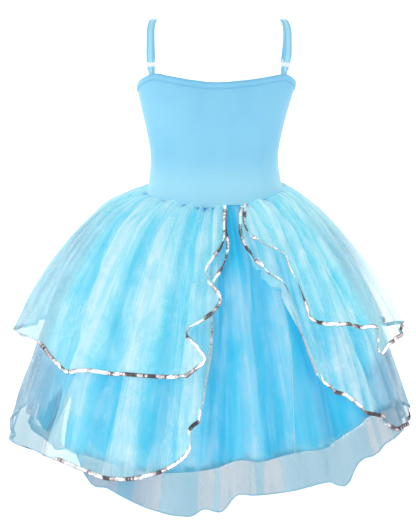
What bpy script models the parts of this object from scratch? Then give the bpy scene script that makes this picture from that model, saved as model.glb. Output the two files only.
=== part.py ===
"""A child's princess costume, standing hollow in the shape it has when worn.

A close bodice on two shoulder straps carries four gathered layers: an opaque underskirt, a long sheer
skirt, and two sheer tiers that open at the back, fall in folds and are edged with braid.
Metres, +Z up. The back, where the tiers open, faces -Y. The origin lies midway between the shoulders.
Angles are in degrees round the body: 0 is the centre back and 90 is +X.
"""

from collections import namedtuple

import bpy
import numpy as np

CLOTH = 0.0012
CLEAR = 0.0003
PITCH = CLOTH + CLEAR
BRAID = 0.0010
BRAID_WIDTH = 0.0050
BINDING = 0.0010
BINDING_WIDTH = 0.0070

ROUNDNESS = 2.4
WAIST = -0.2385
WAIST_DIP = 0.008
SETTLE = 0.070
LAYER_GAP = 0.0026
GATHER = 0.070

Section = namedtuple("Section", "height middle half_width back_depth front_depth")
BODICE = [
    Section(-0.2630, -0.0012, 0.1050, 0.0815, 0.0855),
    Section(-0.2420, -0.0013, 0.0984, 0.0755, 0.0795),
    Section(-0.2250, -0.0016, 0.0942, 0.0712, 0.0752),
    Section(-0.2050, -0.0024, 0.0915, 0.0690, 0.0730),
    Section(-0.1850, -0.0023, 0.0919, 0.0695, 0.0735),
    Section(-0.1560, -0.0021, 0.0971, 0.0715, 0.0765),
    Section(-0.1200, -0.0014, 0.1057, 0.0730, 0.0790),
    Section(-0.0930, 0.0002, 0.1122, 0.0705, 0.0780),
    Section(-0.0680, 0.0030, 0.1145, 0.0670, 0.0760),
]

# The top edge of the bodice, from the left side seam round the back and the front.
Level = namedtuple("Level", "angle height")
RIM = [
    Level(-90, -0.0940),
    Level(-82, -0.0905),
    Level(-76.5, -0.0838),
    Level(-64, -0.0732),
    Level(-59, -0.0722),
    Level(-49, -0.0753),
    Level(-32, -0.0795),
    Level(-14, -0.0824),
    Level(0, -0.0833),
    Level(13, -0.0826),
    Level(32, -0.0803),
    Level(42, -0.0786),
    Level(52, -0.0762),
    Level(61, -0.0738),
    Level(66, -0.0738),
    Level(76, -0.0815),
    Level(84, -0.0880),
    Level(90, -0.0915),
    Level(100, -0.0960),
    Level(117, -0.0970),
    Level(150, -0.1110),
    Level(180, -0.1150),
    Level(210, -0.1110),
    Level(243, -0.0980),
    Level(260, -0.0980),
    Level(270, -0.0940),
]

# The seam at the waist, which the puckered back pulls down.
SEAM = [
    Level(-80, -0.2440),
    Level(-57, -0.2482),
    Level(-39, -0.2508),
    Level(-20, -0.2559),
    Level(-8, -0.2578),
    Level(10, -0.2537),
    Level(26, -0.2531),
    Level(43, -0.2491),
    Level(60, -0.2431),
    Level(80, -0.2402),
    Level(115, -0.2395),
    Level(180, -0.2390),
    Level(240, -0.2400),
]

# The slope of the underskirt, in degrees below level, at each length of cloth from the waist.
Slope = namedtuple("Slope", "length back left right front")
SLOPES = [
    Slope(0.000, 6, 9, 7, 6),
    Slope(0.012, 34, 21, 34, 32),
    Slope(0.030, 52, 35, 49, 48),
    Slope(0.060, 60, 48, 54, 56),
    Slope(0.100, 65, 57, 57, 62),
    Slope(0.150, 69, 64, 63, 67),
    Slope(0.200, 71, 70, 66, 70),
    Slope(0.300, 73, 76, 73, 72),
    Slope(0.440, 72, 72, 72, 71),
]

# The large folds that run through every layer: the angle of each crest and the height of the fold.
Fold = namedtuple("Fold", "crest height")
FOLDS = [
    Fold(-8, 0.012),
    Fold(12, 0.010),
    Fold(31, 0.013),
    Fold(52, 0.011),
    Fold(71, 0.014),
    Fold(92, 0.010),
    Fold(111, 0.012),
    Fold(131, 0.014),
    Fold(150, 0.011),
    Fold(169, 0.013),
    Fold(190, 0.012),
    Fold(211, 0.014),
    Fold(230, 0.010),
    Fold(251, 0.013),
    Fold(271, 0.010),
    Fold(289, 0.014),
    Fold(308, 0.011),
    Fold(331, 0.013),
]

# The hem of each closed layer: its length at each angle and how far it stands off the layer beneath.
Hem = namedtuple("Hem", "angle length stand")
UNDER_HEM = [
    Hem(-45, 0.382, 0.001),
    Hem(-22, 0.386, 0.002),
    Hem(0, 0.376, 0.001),
    Hem(9, 0.366, 0.001),
    Hem(14, 0.369, 0.002),
    Hem(28, 0.362, 0.000),
    Hem(40, 0.362, 0.001),
    Hem(48, 0.350, 0.000),
    Hem(90, 0.352, 0.000),
    Hem(180, 0.362, 0.000),
    Hem(270, 0.358, 0.000),
    Hem(295, 0.372, 0.000),
]
LONG_HEM = [
    Hem(-69, 0.377, 0.003),
    Hem(-64, 0.384, 0.003),
    Hem(-55, 0.387, 0.003),
    Hem(-46, 0.384, 0.003),
    Hem(-42, 0.411, 0.003),
    Hem(-33, 0.417, 0.002),
    Hem(-21, 0.434, 0.004),
    Hem(-10, 0.441, 0.006),
    Hem(-6.5, 0.440, 0.006),
    Hem(-4, 0.432, 0.002),
    Hem(2.5, 0.433, 0.003),
    Hem(6.5, 0.414, 0.001),
    Hem(12, 0.414, 0.004),
    Hem(25, 0.412, 0.002),
    Hem(35, 0.408, 0.004),
    Hem(43.5, 0.415, 0.006),
    Hem(47, 0.395, 0.001),
    Hem(54, 0.391, 0.002),
    Hem(61, 0.390, 0.002),
    Hem(66, 0.383, 0.002),
    Hem(90, 0.382, 0.002),
    Hem(120, 0.392, 0.004),
    Hem(150, 0.402, 0.002),
    Hem(180, 0.398, 0.004),
    Hem(210, 0.402, 0.002),
    Hem(240, 0.394, 0.005),
    Hem(270, 0.382, 0.003),
]

# The free edge of each open tier, from one side of the opening right round the body to the other:
# where the gather starts at the waist, where it ends on the edge, its length, and how far it stands
# off the layer beneath.
Edge = namedtuple("Edge", "top end length stand")
LOWER_EDGE = [
    Edge(26, 38.4, 0.276, 0.010),
    Edge(28, 43.6, 0.292, 0.008),
    Edge(30.5, 47.0, 0.304, 0.006),
    Edge(34, 50.8, 0.326, 0.005),
    Edge(38, 56.5, 0.339, 0.006),
    Edge(43, 61.8, 0.347, 0.007),
    Edge(48, 63.3, 0.362, 0.003),
    Edge(53, 65.5, 0.373, 0.002),
    Edge(59, 69.4, 0.374, 0.003),
    Edge(68, 75, 0.379, 0.004),
    Edge(82, 85, 0.384, 0.002),
    Edge(98, 98, 0.380, 0.002),
    Edge(118, 118, 0.376, 0.002),
    Edge(140, 140, 0.380, 0.006),
    Edge(162, 162, 0.380, 0.002),
    Edge(184, 184, 0.380, 0.006),
    Edge(206, 206, 0.380, 0.002),
    Edge(228, 228, 0.380, 0.006),
    Edge(250, 250, 0.390, 0.008),
    Edge(270, 270, 0.403, 0.014),
    Edge(285, 285, 0.406, 0.016),
    Edge(300, 300, 0.402, 0.010),
    Edge(311, 311, 0.398, 0.008),
    Edge(322, 321.5, 0.404, 0.004),
    Edge(334, 333.1, 0.402, 0.006),
    Edge(347, 345.4, 0.381, 0.003),
    Edge(357, 352.0, 0.357, 0.004),
    Edge(365, 352.4, 0.328, 0.008),
    Edge(375.5, 354.8, 0.316, 0.010),
]
UPPER_EDGE = [
    Edge(30.5, 36.4, 0.187, 0.012),
    Edge(33, 42.0, 0.198, 0.010),
    Edge(36.5, 49.5, 0.207, 0.011),
    Edge(41.5, 57.5, 0.217, 0.012),
    Edge(46, 65.2, 0.228, 0.013),
    Edge(51, 66.2, 0.247, 0.009),
    Edge(56, 67.4, 0.266, 0.004),
    Edge(63, 71, 0.260, 0.008),
    Edge(74, 80, 0.261, 0.021),
    Edge(89, 90, 0.257, 0.029),
    Edge(108, 108, 0.264, 0.012),
    Edge(127, 127, 0.266, 0.014),
    Edge(146, 146, 0.268, 0.006),
    Edge(165, 165, 0.268, 0.012),
    Edge(184, 184, 0.268, 0.005),
    Edge(203, 203, 0.268, 0.012),
    Edge(222, 222, 0.270, 0.006),
    Edge(241, 241, 0.272, 0.014),
    Edge(259, 259, 0.270, 0.020),
    Edge(275, 275, 0.263, 0.036),
    Edge(284, 284, 0.258, 0.035),
    Edge(291.5, 291.5, 0.254, 0.017),
    Edge(298, 298, 0.273, 0.008),
    Edge(308, 308, 0.279, 0.003),
    Edge(316, 315.4, 0.268, 0.009),
    Edge(324, 321.5, 0.266, 0.003),
    Edge(340, 336.6, 0.261, 0.010),
    Edge(356, 344, 0.259, 0.005),
    Edge(370.5, 350.7, 0.257, 0.012),
]

# The path of each opening edge: its angle at each length, and how far it is lifted off.
Side = namedtuple("Side", "length angle lift")
UPPER_RIGHT = [
    Side(0.000, 30.5, 0.000),
    Side(0.016, 25.5, 0.000),
    Side(0.030, 22.5, 0.000),
    Side(0.045, 20.5, 0.001),
    Side(0.057, 20.0, 0.002),
    Side(0.068, 21.5, 0.004),
    Side(0.080, 27.2, 0.006),
    Side(0.094, 33.5, 0.008),
    Side(0.115, 34.2, 0.006),
    Side(0.150, 35.6, 0.003),
    Side(0.187, 36.4, 0.000),
]
UPPER_LEFT = [
    Side(0.000, 370.5, 0.000),
    Side(0.038, 367.0, 0.000),
    Side(0.070, 365.4, 0.002),
    Side(0.090, 360.9, 0.004),
    Side(0.107, 356.5, 0.003),
    Side(0.123, 356.6, 0.000),
    Side(0.136, 360.5, 0.004),
    Side(0.152, 362.9, 0.009),
    Side(0.164, 361.1, 0.006),
    Side(0.183, 354.2, -0.002),
    Side(0.194, 349.3, -0.005),
    Side(0.213, 353.1, 0.000),
    Side(0.234, 356.8, 0.005),
    Side(0.257, 350.7, 0.000),
]
LOWER_RIGHT = [
    Side(0.000, 26.0, 0.000),
    Side(0.014, 21.5, 0.000),
    Side(0.033, 17.8, 0.000),
    Side(0.054, 16.3, 0.000),
    Side(0.076, 17.4, 0.001),
    Side(0.095, 21.2, 0.003),
    Side(0.117, 26.7, 0.004),
    Side(0.132, 31.6, 0.004),
    Side(0.147, 33.9, 0.002),
    Side(0.205, 36.2, 0.000),
    Side(0.230, 37.5, 0.000),
    Side(0.276, 38.4, 0.000),
]
LOWER_LEFT = [
    Side(0.000, 375.5, 0.000),
    Side(0.022, 372.4, 0.000),
    Side(0.044, 370.3, 0.000),
    Side(0.074, 368.6, 0.000),
    Side(0.109, 363.5, 0.002),
    Side(0.126, 359.4, 0.003),
    Side(0.170, 358.2, 0.000),
    Side(0.207, 357.9, 0.000),
    Side(0.263, 356.1, 0.000),
    Side(0.316, 354.8, 0.000),
]

# How many rows of the table above each opening edge draws along with it.
SIDE_REACH = 3.5

# Each strap: the angles round the bodice where it joins the back and the front, x at its top, and how
# far it bows outward on the way up.
Strap = namedtuple("Strap", "name back_angle front_angle top_x bow")
STRAPS = [Strap("left", -66, 243.5, -0.0880, -0.0014), Strap("right", 66.5, 113, 0.0950, 0.0052)]

# The path of a strap from inside the back, over the shoulder, to inside the front: the share of the
# way across, the height, and how much of its bow and of its lean toward the top it has there.
StrapPoint = namedtuple("StrapPoint", "share height bow lean")
STRAP_PATH = [
    StrapPoint(0.00, -0.0860, 0, 0),
    StrapPoint(0.00, -0.0730, 0, 0),
    StrapPoint(0.01, -0.0600, 0.35, 0),
    StrapPoint(0.03, -0.0450, 0.9, 0),
    StrapPoint(0.09, -0.0280, 1, 0),
    StrapPoint(0.20, -0.0130, 1, 0.06),
    StrapPoint(0.34, -0.0032, 1, 0.5),
    StrapPoint(0.50, 0.0006, 1, 1),
    StrapPoint(0.66, -0.0032, 1, 0.5),
    StrapPoint(0.80, -0.0140, 1, 0.06),
    StrapPoint(0.91, -0.0320, 1, 0),
    StrapPoint(0.98, -0.0550, 0.6, 0),
    StrapPoint(1.00, -0.0830, 0, 0),
    StrapPoint(1.00, -0.1090, 0, 0),
]

STRAP = 0.0012
STRAP_WIDTH = 0.0105
STRAP_BEND = 0.0019
TAB_WIDTH = 0.0090
SLIDER_HEIGHT = -0.0600
BAR = 0.0015
BAR_PITCH = 0.0037

SPANDEX = (0.24, 0.55, 0.84)
CYAN = (0.06, 0.55, 0.85)
SHEER = (0.30, 0.60, 0.82)
SILVER = (0.75, 0.77, 0.80)
GLASSY = (0.85, 0.88, 0.90)


def column(table, name):
    return np.array([getattr(row, name) for row in table], float)


def smooth(x, xs, ys):
    """The smooth curve through the points, read at x."""
    slopes = np.gradient(ys, xs)
    x = np.clip(x, xs[0], xs[-1])
    i = np.clip(np.searchsorted(xs, x, side="right") - 1, 0, len(xs) - 2)
    width = xs[i + 1] - xs[i]
    u = (x - xs[i]) / width
    start = ys[i] + (x - xs[i]) * slopes[i] + (ys[i + 1] - ys[i] - width * slopes[i]) * u * u
    bend = width * (slopes[i] + slopes[i + 1]) - 2 * (ys[i + 1] - ys[i])
    return start + bend * u * u * (u - 1)


def rise(x, over):
    """0 at the start, 1 once x has gone the distance over."""
    u = np.clip(x / over, 0, 1)
    return u * u * (3 - 2 * u)


def bodice_point(angle, height, out=0.0):
    """A point on the outer side of the bodice, or moved out from it."""
    a = np.radians(angle)
    heights = column(BODICE, "height")

    def size(name):
        return smooth(height, heights, column(BODICE, name))

    back = 0.5 + 0.5 * np.clip(np.cos(a) / 0.3, -1, 1)
    depth = size("front_depth") + (size("back_depth") - size("front_depth")) * rise(back, 1)
    wide = np.abs(np.sin(a)) / size("half_width")
    deep = np.abs(np.cos(a)) / depth
    radius = (wide**ROUNDNESS + deep**ROUNDNESS) ** (-1 / ROUNDNESS) + out
    x = size("middle") + radius * np.sin(a)
    return np.stack(np.broadcast_arrays(x, -radius * np.cos(a), height), axis=-1)


def around(table, name, angle):
    """One value of a table that runs right round the body, smoothly joined and read at an angle."""
    angles, values = column(table, "angle"), column(table, name)
    angles = np.concatenate([angles[-3:] - 360, angles, angles[:3] + 360])
    values = np.concatenate([values[-3:], values, values[:3]])
    return smooth(np.mod(angle - table[0].angle, 360) + table[0].angle, angles, values)


def rim_height(angle):
    return np.interp(np.mod(angle + 90, 360) - 90, column(RIM, "angle"), column(RIM, "height"))


def waist_point(angle, length):
    """Where the skirts start. The puckers of the seam are pulled level again further down."""
    level = bodice_point(angle, WAIST - WAIST_DIP * rise(np.cos(np.radians(angle)), 1.0), -0.5 * CLOTH)
    seam = bodice_point(angle, around(SEAM, "height", angle), -0.5 * CLOTH)
    return seam + (level - seam) * rise(length, SETTLE)[..., None]


def skirt_point(angle, length, out):
    """A point at this length of cloth below the waist, moved out from the underskirt's own slope."""
    angle, length, out = np.broadcast_arrays(
        np.asarray(angle, float), np.asarray(length, float), np.asarray(out, float)
    )
    a = np.radians(angle)
    lengths = column(SLOPES, "length")
    side = np.sin(a) ** 2
    shares = {
        "back": (1 - side) * (np.cos(a) > 0),
        "front": (1 - side) * (np.cos(a) <= 0),
        "right": side * (np.sin(a) > 0),
        "left": side * (np.sin(a) <= 0),
    }

    def slope(at, share):
        below = sum(smooth(at, lengths, column(SLOPES, name)) * share[name] for name in share)
        return np.radians(below)

    steps = (np.arange(40) + 0.5) / 40
    wide = {name: value[..., None] for name, value in shares.items()}
    along = slope(length[..., None] * steps, wide)
    run = length * np.cos(along).mean(axis=-1)
    drop = length * np.sin(along).mean(axis=-1)
    end = slope(length, shares)
    seam = waist_point(angle, length)
    reach = run + out * np.sin(end)
    x = seam[..., 0] + reach * np.sin(a)
    y = seam[..., 1] - reach * np.cos(a)
    z = seam[..., 2] - 3 * PITCH - 0.5 * CLOTH - CLEAR - drop + out * np.cos(end)
    return np.stack([x, y, z], axis=-1)


def fold_height(angle):
    """The height of the large folds: round crests, narrower valleys."""
    crests = column(FOLDS, "crest")
    heights = column(FOLDS, "height")
    crests = np.concatenate([crests, [crests[0] + 360]])
    heights = np.concatenate([heights, [heights[0]]])
    at = np.mod(angle - crests[0], 360) + crests[0]
    i = np.clip(np.searchsorted(crests, at, side="right") - 1, 0, len(FOLDS) - 1)
    u = (at - crests[i]) / (crests[i + 1] - crests[i])
    height = heights[i] + (heights[i + 1] - heights[i]) * rise(u, 1)
    return height * (0.5 + 0.5 * np.cos(2 * np.pi * u))


class Layer:
    """One gathered layer. It knows how far it stands out at every angle and length."""

    def __init__(self, below, lines, sides=None):
        self.below = below
        self.sides = sides
        self.closed = sides is None
        self.level = 0 if below is None else below.level + 1
        self.top, self.end, self.length, self.stand, *self.near = lines

    def angle(self, length):
        """The angle of each gather line at these lengths, one per line."""
        if self.closed:
            return self.end
        swing = np.clip(length / self.length, 0, 1) ** 1.2
        angle = self.top + (self.end - self.top) * swing
        for near, side, k in zip(self.near, self.sides, (0, -1)):
            path = np.interp(length, column(side, "length"), column(side, "angle"))
            angle = angle + near * (path - angle[k])
        return angle

    def own_height(self, length):
        """How far each gather line stands off the layer beneath, one per line."""
        height = self.stand * np.clip(length / self.length, 0, 1) ** 1.5
        for near, side in zip(self.near, self.sides or ()):
            height = height + near**2 * np.interp(length, column(side, "length"), column(side, "lift"))
        return height

    def floor(self, angle, length):
        """The height that the layer rests on."""
        if self.below is None:
            return fold_height(angle) * rise(length, 0.30)
        return self.below.height(angle, length) + LAYER_GAP * rise(length, GATHER)

    def height(self, angle, length):
        """How far the layer stands off the underskirt's slope."""
        own = np.empty(np.shape(angle))
        for index in np.ndindex(own.shape):
            lines = self.angle(length[index])
            lifts = self.own_height(length[index])
            at = angle[index]
            if self.closed:
                own[index] = np.interp(at, lines, lifts, period=360)
            else:
                middle = 0.5 * (lines[0] + lines[-1])
                own[index] = np.interp(np.mod(at - middle + 180, 360) + middle - 180, lines, lifts)
        return self.floor(angle, length) + own

    def sheet(self, near, far):
        """Points on the middle of the cloth, row by row from the waist to the free edge."""
        close = GATHER * (np.arange(near) / near) ** 1.3
        reach = self.length - GATHER - (0 if self.closed else BRAID_WIDTH)
        length = GATHER + reach[None, :] * (np.arange(far + 1) / far)[:, None]
        length = np.concatenate([np.broadcast_to(close[:, None], (near, len(reach))), length])
        if not self.closed:
            length = np.concatenate([length, self.length[None, :]])
        angle = np.stack([self.angle(row) for row in length])
        own = np.stack([self.own_height(row) for row in length])
        out = self.floor(angle, length) + own + self.level * PITCH
        points = skirt_point(angle, length, out)
        if self.closed:
            return points
        return np.stack([even_sides(row) for row in points])


def even_sides(row):
    """A row of points with the second one from each end a braid's width in from the end."""
    for _ in range(2):
        steps = np.linalg.norm(np.diff(row, axis=0), axis=1)
        gone = np.concatenate([[0], np.cumsum(steps)])
        least = BRAID_WIDTH + 0.0006 * np.arange(len(row) - 1)
        wanted = np.concatenate([[0], np.maximum(gone[1:], least)])
        wanted[1] = BRAID_WIDTH
        wanted[12:] = gone[12:]
        row = np.stack([np.interp(wanted, gone, row[:, k]) for k in range(3)], axis=1)[::-1]
    return row


def closed_lines(hem, angles):
    """Gather lines straight down at these angles, for a layer that goes all the way round."""
    return angles, angles, around(hem, "length", angles), around(hem, "stand", angles)


def open_lines(edge, steps):
    """Gather lines that fan out to the free edge of an open tier."""
    last = len(edge) - 1
    knots = np.arange(len(edge), dtype=float)
    at = np.linspace(0, last, last * steps + 1)
    near_right = np.clip(1 - at / SIDE_REACH, 0, 1)
    near_left = np.clip(1 - (last - at) / SIDE_REACH, 0, 1)
    return (*(smooth(at, knots, column(edge, name)) for name in Edge._fields), near_right, near_left)


def fold_angles(steps):
    """The same number of angles in each large fold."""
    crests = column(FOLDS, "crest")
    crests = np.append(crests, crests[0] + 360)
    at = np.arange(len(FOLDS) * steps) / steps
    return np.interp(at, np.arange(len(crests)), crests)


def layers(under_steps, long_steps, lower_steps, upper_steps):
    under = Layer(None, closed_lines(UNDER_HEM, fold_angles(under_steps)))
    long = Layer(under, closed_lines(LONG_HEM, fold_angles(long_steps)))
    lower = Layer(long, open_lines(LOWER_EDGE, lower_steps), (LOWER_RIGHT, LOWER_LEFT))
    upper = Layer(lower, open_lines(UPPER_EDGE, upper_steps), (UPPER_RIGHT, UPPER_LEFT))
    return under, long, lower, upper


def facing(points, closed):
    """Unit directions square to a sheet of points, pointing away from the body."""
    if closed:
        across = np.roll(points, -1, axis=1) - np.roll(points, 1, axis=1)
    else:
        across = np.gradient(points, axis=1)
    normals = np.cross(np.gradient(points, axis=0), across)
    return normals / np.linalg.norm(normals, axis=-1, keepdims=True)


def material(name, colour, alpha=1.0, roughness=0.5):
    surface = bpy.data.materials.new(name)
    surface.use_nodes = True
    shader = surface.node_tree.nodes["Principled BSDF"]
    shader.inputs["Base Color"].default_value = (*colour, 1.0)
    shader.inputs["Alpha"].default_value = alpha
    shader.inputs["Roughness"].default_value = roughness
    surface.diffuse_color = (*colour, 1.0)
    return surface


def build(name, points, faces, surface):
    mesh = bpy.data.meshes.new(name)
    mesh.from_pydata([tuple(p) for p in points], [], faces)
    mesh.materials.append(surface)
    piece = bpy.data.objects.new(name, mesh)
    bpy.context.scene.collection.objects.link(piece)
    return piece


def shell(name, outer, inner, closed, surface, cells=None):
    """A closed body between two matching sheets of points, or between some of their cells only."""
    rows, columns = outer.shape[:2]
    count = rows * columns
    across = columns if closed else columns - 1
    if cells is None:
        cells = np.ones((rows - 1, across), bool)

    def at(r, c, side):
        return side * count + r * columns + c % columns

    def filled(r, c):
        inside = 0 <= r < rows - 1 and (closed or 0 <= c < across)
        return inside and cells[r, c % across]

    faces = []
    for r, c in zip(*np.nonzero(cells)):
        corners = [(r, c), (r + 1, c), (r + 1, c + 1), (r, c + 1)]
        for three in ((0, 1, 2), (0, 2, 3)):
            faces.append([at(*corners[k], 0) for k in three])
            faces.append([at(*corners[k], 1) for k in reversed(three)])
        beside = [(r, c - 1), (r + 1, c), (r, c + 1), (r - 1, c)]
        for k, cell in enumerate(beside):
            if not filled(*cell):
                a, b = corners[k], corners[(k + 1) % 4]
                faces.append([at(*b, 0), at(*a, 0), at(*a, 1), at(*b, 1)])
    used = sorted({corner for face in faces for corner in face})
    points = np.concatenate([outer.reshape(-1, 3), inner.reshape(-1, 3)])[used]
    place = dict(zip(used, range(len(used))))
    return build(name, points, [[place[corner] for corner in face] for face in faces], surface)


def ribbon(name, centres, across, width, thickness, surface):
    """A strip of even width and thickness along a line of centres."""
    along = np.gradient(centres, axis=0)
    along /= np.linalg.norm(along, axis=1, keepdims=True)
    across = across - along * np.sum(across * along, axis=1, keepdims=True)
    across /= np.linalg.norm(across, axis=1, keepdims=True)
    out = np.cross(along, across)
    left = centres - across * width / 2
    right = centres + across * width / 2
    outer = np.stack([left + out * thickness / 2, right + out * thickness / 2], axis=1)
    inner = np.stack([left - out * thickness / 2, right - out * thickness / 2], axis=1)
    return shell(name, outer, inner, False, surface)


def braid(name, middle, out, surface):
    """A flat braid along the free edge of an open tier, made from the tier's own points."""
    cells = np.zeros((middle.shape[0] - 1, middle.shape[1] - 1), bool)
    cells[1:, 0] = cells[1:, -1] = cells[-1] = True
    low = middle + out * (CLOTH / 2 + CLEAR)
    high = middle + out * (CLOTH / 2 + CLEAR + BRAID)
    return shell(name, high, low, False, surface, cells)


def clear_scene():
    for piece in list(bpy.data.objects):
        bpy.data.objects.remove(piece, do_unlink=True)


def bodice():
    seam = 0.10
    panels = {
        "back": [(-90 + seam, -63, 4), (-63, 65, 15), (65, 90 - seam, 4)],
        "front": [(90 + seam, 117, 4), (117, 243, 15), (243, 270 - seam, 4)],
    }
    for side, spans in panels.items():
        angles = np.concatenate(
            [np.linspace(start, stop, count + 1)[(k > 0) :] for k, (start, stop, count) in enumerate(spans)]
        )
        share = np.linspace(0, 1, 7)[:, None]
        top = rim_height(angles)[None, :]
        height = top + (around(SEAM, "height", angles)[None, :] - top) * share
        outer = bodice_point(angles[None, :], height)
        inner = bodice_point(angles[None, :], height, -CLOTH)
        shell("bodice_" + side, outer, inner, False, material("bodice_" + side, SPANDEX))
        height = top - BINDING_WIDTH * np.array([[0.0], [1.0]])
        outer = bodice_point(angles[None, :], height, CLEAR + BINDING)
        inner = bodice_point(angles[None, :], height, CLEAR)
        name = "neck_binding_" + side
        shell(name, outer, inner, False, material(name, SPANDEX))


def frame(path, k):
    """The direction along a path at one of its points."""
    step = path[min(k + 1, len(path) - 1)] - path[max(k - 1, 0)]
    return step / np.linalg.norm(step)


def wall_turn(angle, height):
    """How far the bodice wall is turned from the X axis, seen from above."""
    step = bodice_point(angle + 2, height) - bodice_point(angle - 2, height)
    return np.arctan2(step[1] * np.sign(step[0]), abs(step[0]))


def strap(side):
    """One shoulder strap with its plastic slider and the short tab beneath the slider."""
    name, back_angle, front_angle, top_x, bow = side
    inside = -(CLOTH + CLEAR + STRAP / 2 + 0.0018)
    knots = np.arange(len(STRAP_PATH), dtype=float)
    at = np.linspace(0, len(STRAP_PATH) - 1, 2 * (len(STRAP_PATH) - 1) + 1)
    share, height, bowed, lean = (smooth(at, knots, column(STRAP_PATH, part)) for part in StrapPoint._fields)
    share = np.clip(share, 0, 1)
    back = bodice_point(back_angle, np.minimum(height, rim_height(back_angle)), inside)
    front = bodice_point(front_angle, np.minimum(height, rim_height(front_angle)), inside)
    path = back + (front - back) * share[:, None]
    path[:, 0] += bow * bowed
    path[:, 0] += (top_x - path[:, 0]) * lean
    path[:, 2] = height
    ends = wall_turn(back_angle, STRAP_PATH[0].height), wall_turn(front_angle, STRAP_PATH[-1].height)
    turn = ends[0] + (ends[1] - ends[0]) * share
    turn = turn * (1 - 0.7 * rise(height - rim_height(back_angle), 0.016))
    across = np.stack([np.cos(turn), np.sin(turn), 0 * turn], axis=1)

    hub = int(np.argmin(np.abs(height[: len(height) // 2] - SLIDER_HEIGHT)))
    along = frame(path, hub)
    wide = across[hub] - along * np.dot(across[hub], along)
    wide /= np.linalg.norm(wide)
    out = np.cross(wide, along)
    slider(name, path[hub], wide, along, out)

    round_bar = np.linspace(0, 1, 7)[:, None] * np.pi
    top_bar = path[hub] + along * BAR_PITCH
    low_bar = path[hub] - along * BAR_PITCH
    clear = path[hub + 2 :]
    fade = (1 - rise(np.arange(len(clear)), 3))[:, None]
    bend = top_bar + STRAP_BEND * (np.cos(round_bar) * out - np.sin(round_bar) * along)
    outer_ply = clear[::-1] + fade[::-1] * STRAP_BEND * out
    tail = len(clear) // 5
    inner_ply = clear[:tail] - out * (PITCH + 0.0002 + fade[:tail] * (STRAP_BEND - PITCH - 0.0002))
    line = np.concatenate([outer_ply, bend, inner_ply])
    sides = np.concatenate([across[hub + 2 :][::-1], np.repeat(wide[None], 7, axis=0), across[hub + 2 :][:tail]])
    ribbon("strap_" + name, line, sides, STRAP_WIDTH, STRAP, material("strap_" + name, SPANDEX))

    bend = low_bar + STRAP_BEND * (np.cos(round_bar) * out + np.sin(round_bar) * along)
    root = path[: hub - 2]
    inner_ply = low_bar - STRAP_BEND * out - along * np.array([[0.002], [0.004]])
    line = np.concatenate([root, bend, inner_ply])
    sides = np.concatenate([across[: len(root)], np.repeat(wide[None], 9, axis=0)])
    ribbon("strap_tab_" + name, line, sides, TAB_WIDTH, STRAP, material("strap_tab_" + name, SPANDEX))


def slider(name, centre, wide, along, out):
    """A flat plastic figure of eight: three bars and two slots."""
    slot = STRAP_WIDTH / 2 + 0.0004
    across = np.array([-slot - BAR, -slot, slot, slot + BAR])
    bars = np.array([BAR_PITCH, 0, -BAR_PITCH])
    up = np.stack([bars + BAR / 2, bars - BAR / 2], axis=1).ravel()
    sides, heights = np.meshgrid(across, up)
    corner = (np.abs(sides) > slot) & (np.abs(heights) > BAR_PITCH)
    sides = sides - np.where(corner, 0.3 * BAR * np.sign(sides), 0)
    heights = heights - np.where(corner, 0.3 * BAR * np.sign(heights), 0)
    plate = centre + sides[..., None] * wide + heights[..., None] * along
    cells = np.ones((5, 3), bool)
    cells[[1, 3], 1] = False
    half = out * BAR / 2
    shell("slider_" + name, plate + half, plate - half, False, material("slider_" + name, GLASSY, 0.5, 0.2), cells)


def main():
    clear_scene()
    bodice()
    for side in STRAPS:
        strap(side)
    under, long, lower, upper = layers(4, 5, 4, 3)
    looks = {
        "underskirt": (under, CYAN, 1.0, 3),
        "long_skirt": (long, SHEER, 0.6, 5),
        "lower_tier": (lower, SHEER, 0.6, 4),
        "upper_tier": (upper, SHEER, 0.6, 6),
    }
    for name, (layer, colour, alpha, rows) in looks.items():
        middle = layer.sheet(3, rows)
        out = facing(middle, layer.closed)
        half = out * CLOTH / 2
        shell(name, middle + half, middle - half, layer.closed, material(name, colour, alpha))
        if not layer.closed:
            braid(name + "_braid", middle, out, material(name + "_braid", SILVER, 1.0, 0.3))


main()
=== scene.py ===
"""The looks of a child's princess costume: stretch bodice, gathered sheer layers and silver sequin braid.

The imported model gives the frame. Every layer of cloth is drawn again as a thin sheet with its fine
gathers, and the trims are built along its edges. Metres, +Z up; the back, where the tiers open, faces -Y.
Angles are in degrees round the body: 0 is the centre back and 90 is +X.
"""

import math
from collections import namedtuple

import bpy
import numpy as np
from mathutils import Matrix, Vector


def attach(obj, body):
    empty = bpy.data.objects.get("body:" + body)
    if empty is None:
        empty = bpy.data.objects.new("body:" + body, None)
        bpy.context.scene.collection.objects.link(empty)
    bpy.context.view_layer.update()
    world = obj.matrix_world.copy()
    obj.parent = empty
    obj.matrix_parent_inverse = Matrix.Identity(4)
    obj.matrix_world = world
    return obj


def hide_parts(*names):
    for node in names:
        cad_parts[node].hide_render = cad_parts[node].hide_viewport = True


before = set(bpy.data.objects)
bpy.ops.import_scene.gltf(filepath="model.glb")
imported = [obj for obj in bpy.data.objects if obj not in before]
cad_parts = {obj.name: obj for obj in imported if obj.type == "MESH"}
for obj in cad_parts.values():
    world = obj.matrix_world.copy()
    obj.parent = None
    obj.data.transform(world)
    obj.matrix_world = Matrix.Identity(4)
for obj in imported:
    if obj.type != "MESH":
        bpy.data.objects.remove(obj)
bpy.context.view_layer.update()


def table(kind, *rows):
    """A list of rows, each with named values."""
    return [kind(*row) for row in rows]


# The cloth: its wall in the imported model, the step from one layer to the next, and each piece's thickness.
CLOTH = 0.0012
PITCH = 0.0015
STRETCH = 0.0010
LINING = 0.0006
ORGANZA = 0.0003
BINDING = 0.0005
LINING_LEVEL, LONG_LEVEL, LOWER_LEVEL, UPPER_LEVEL = range(4)

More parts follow.
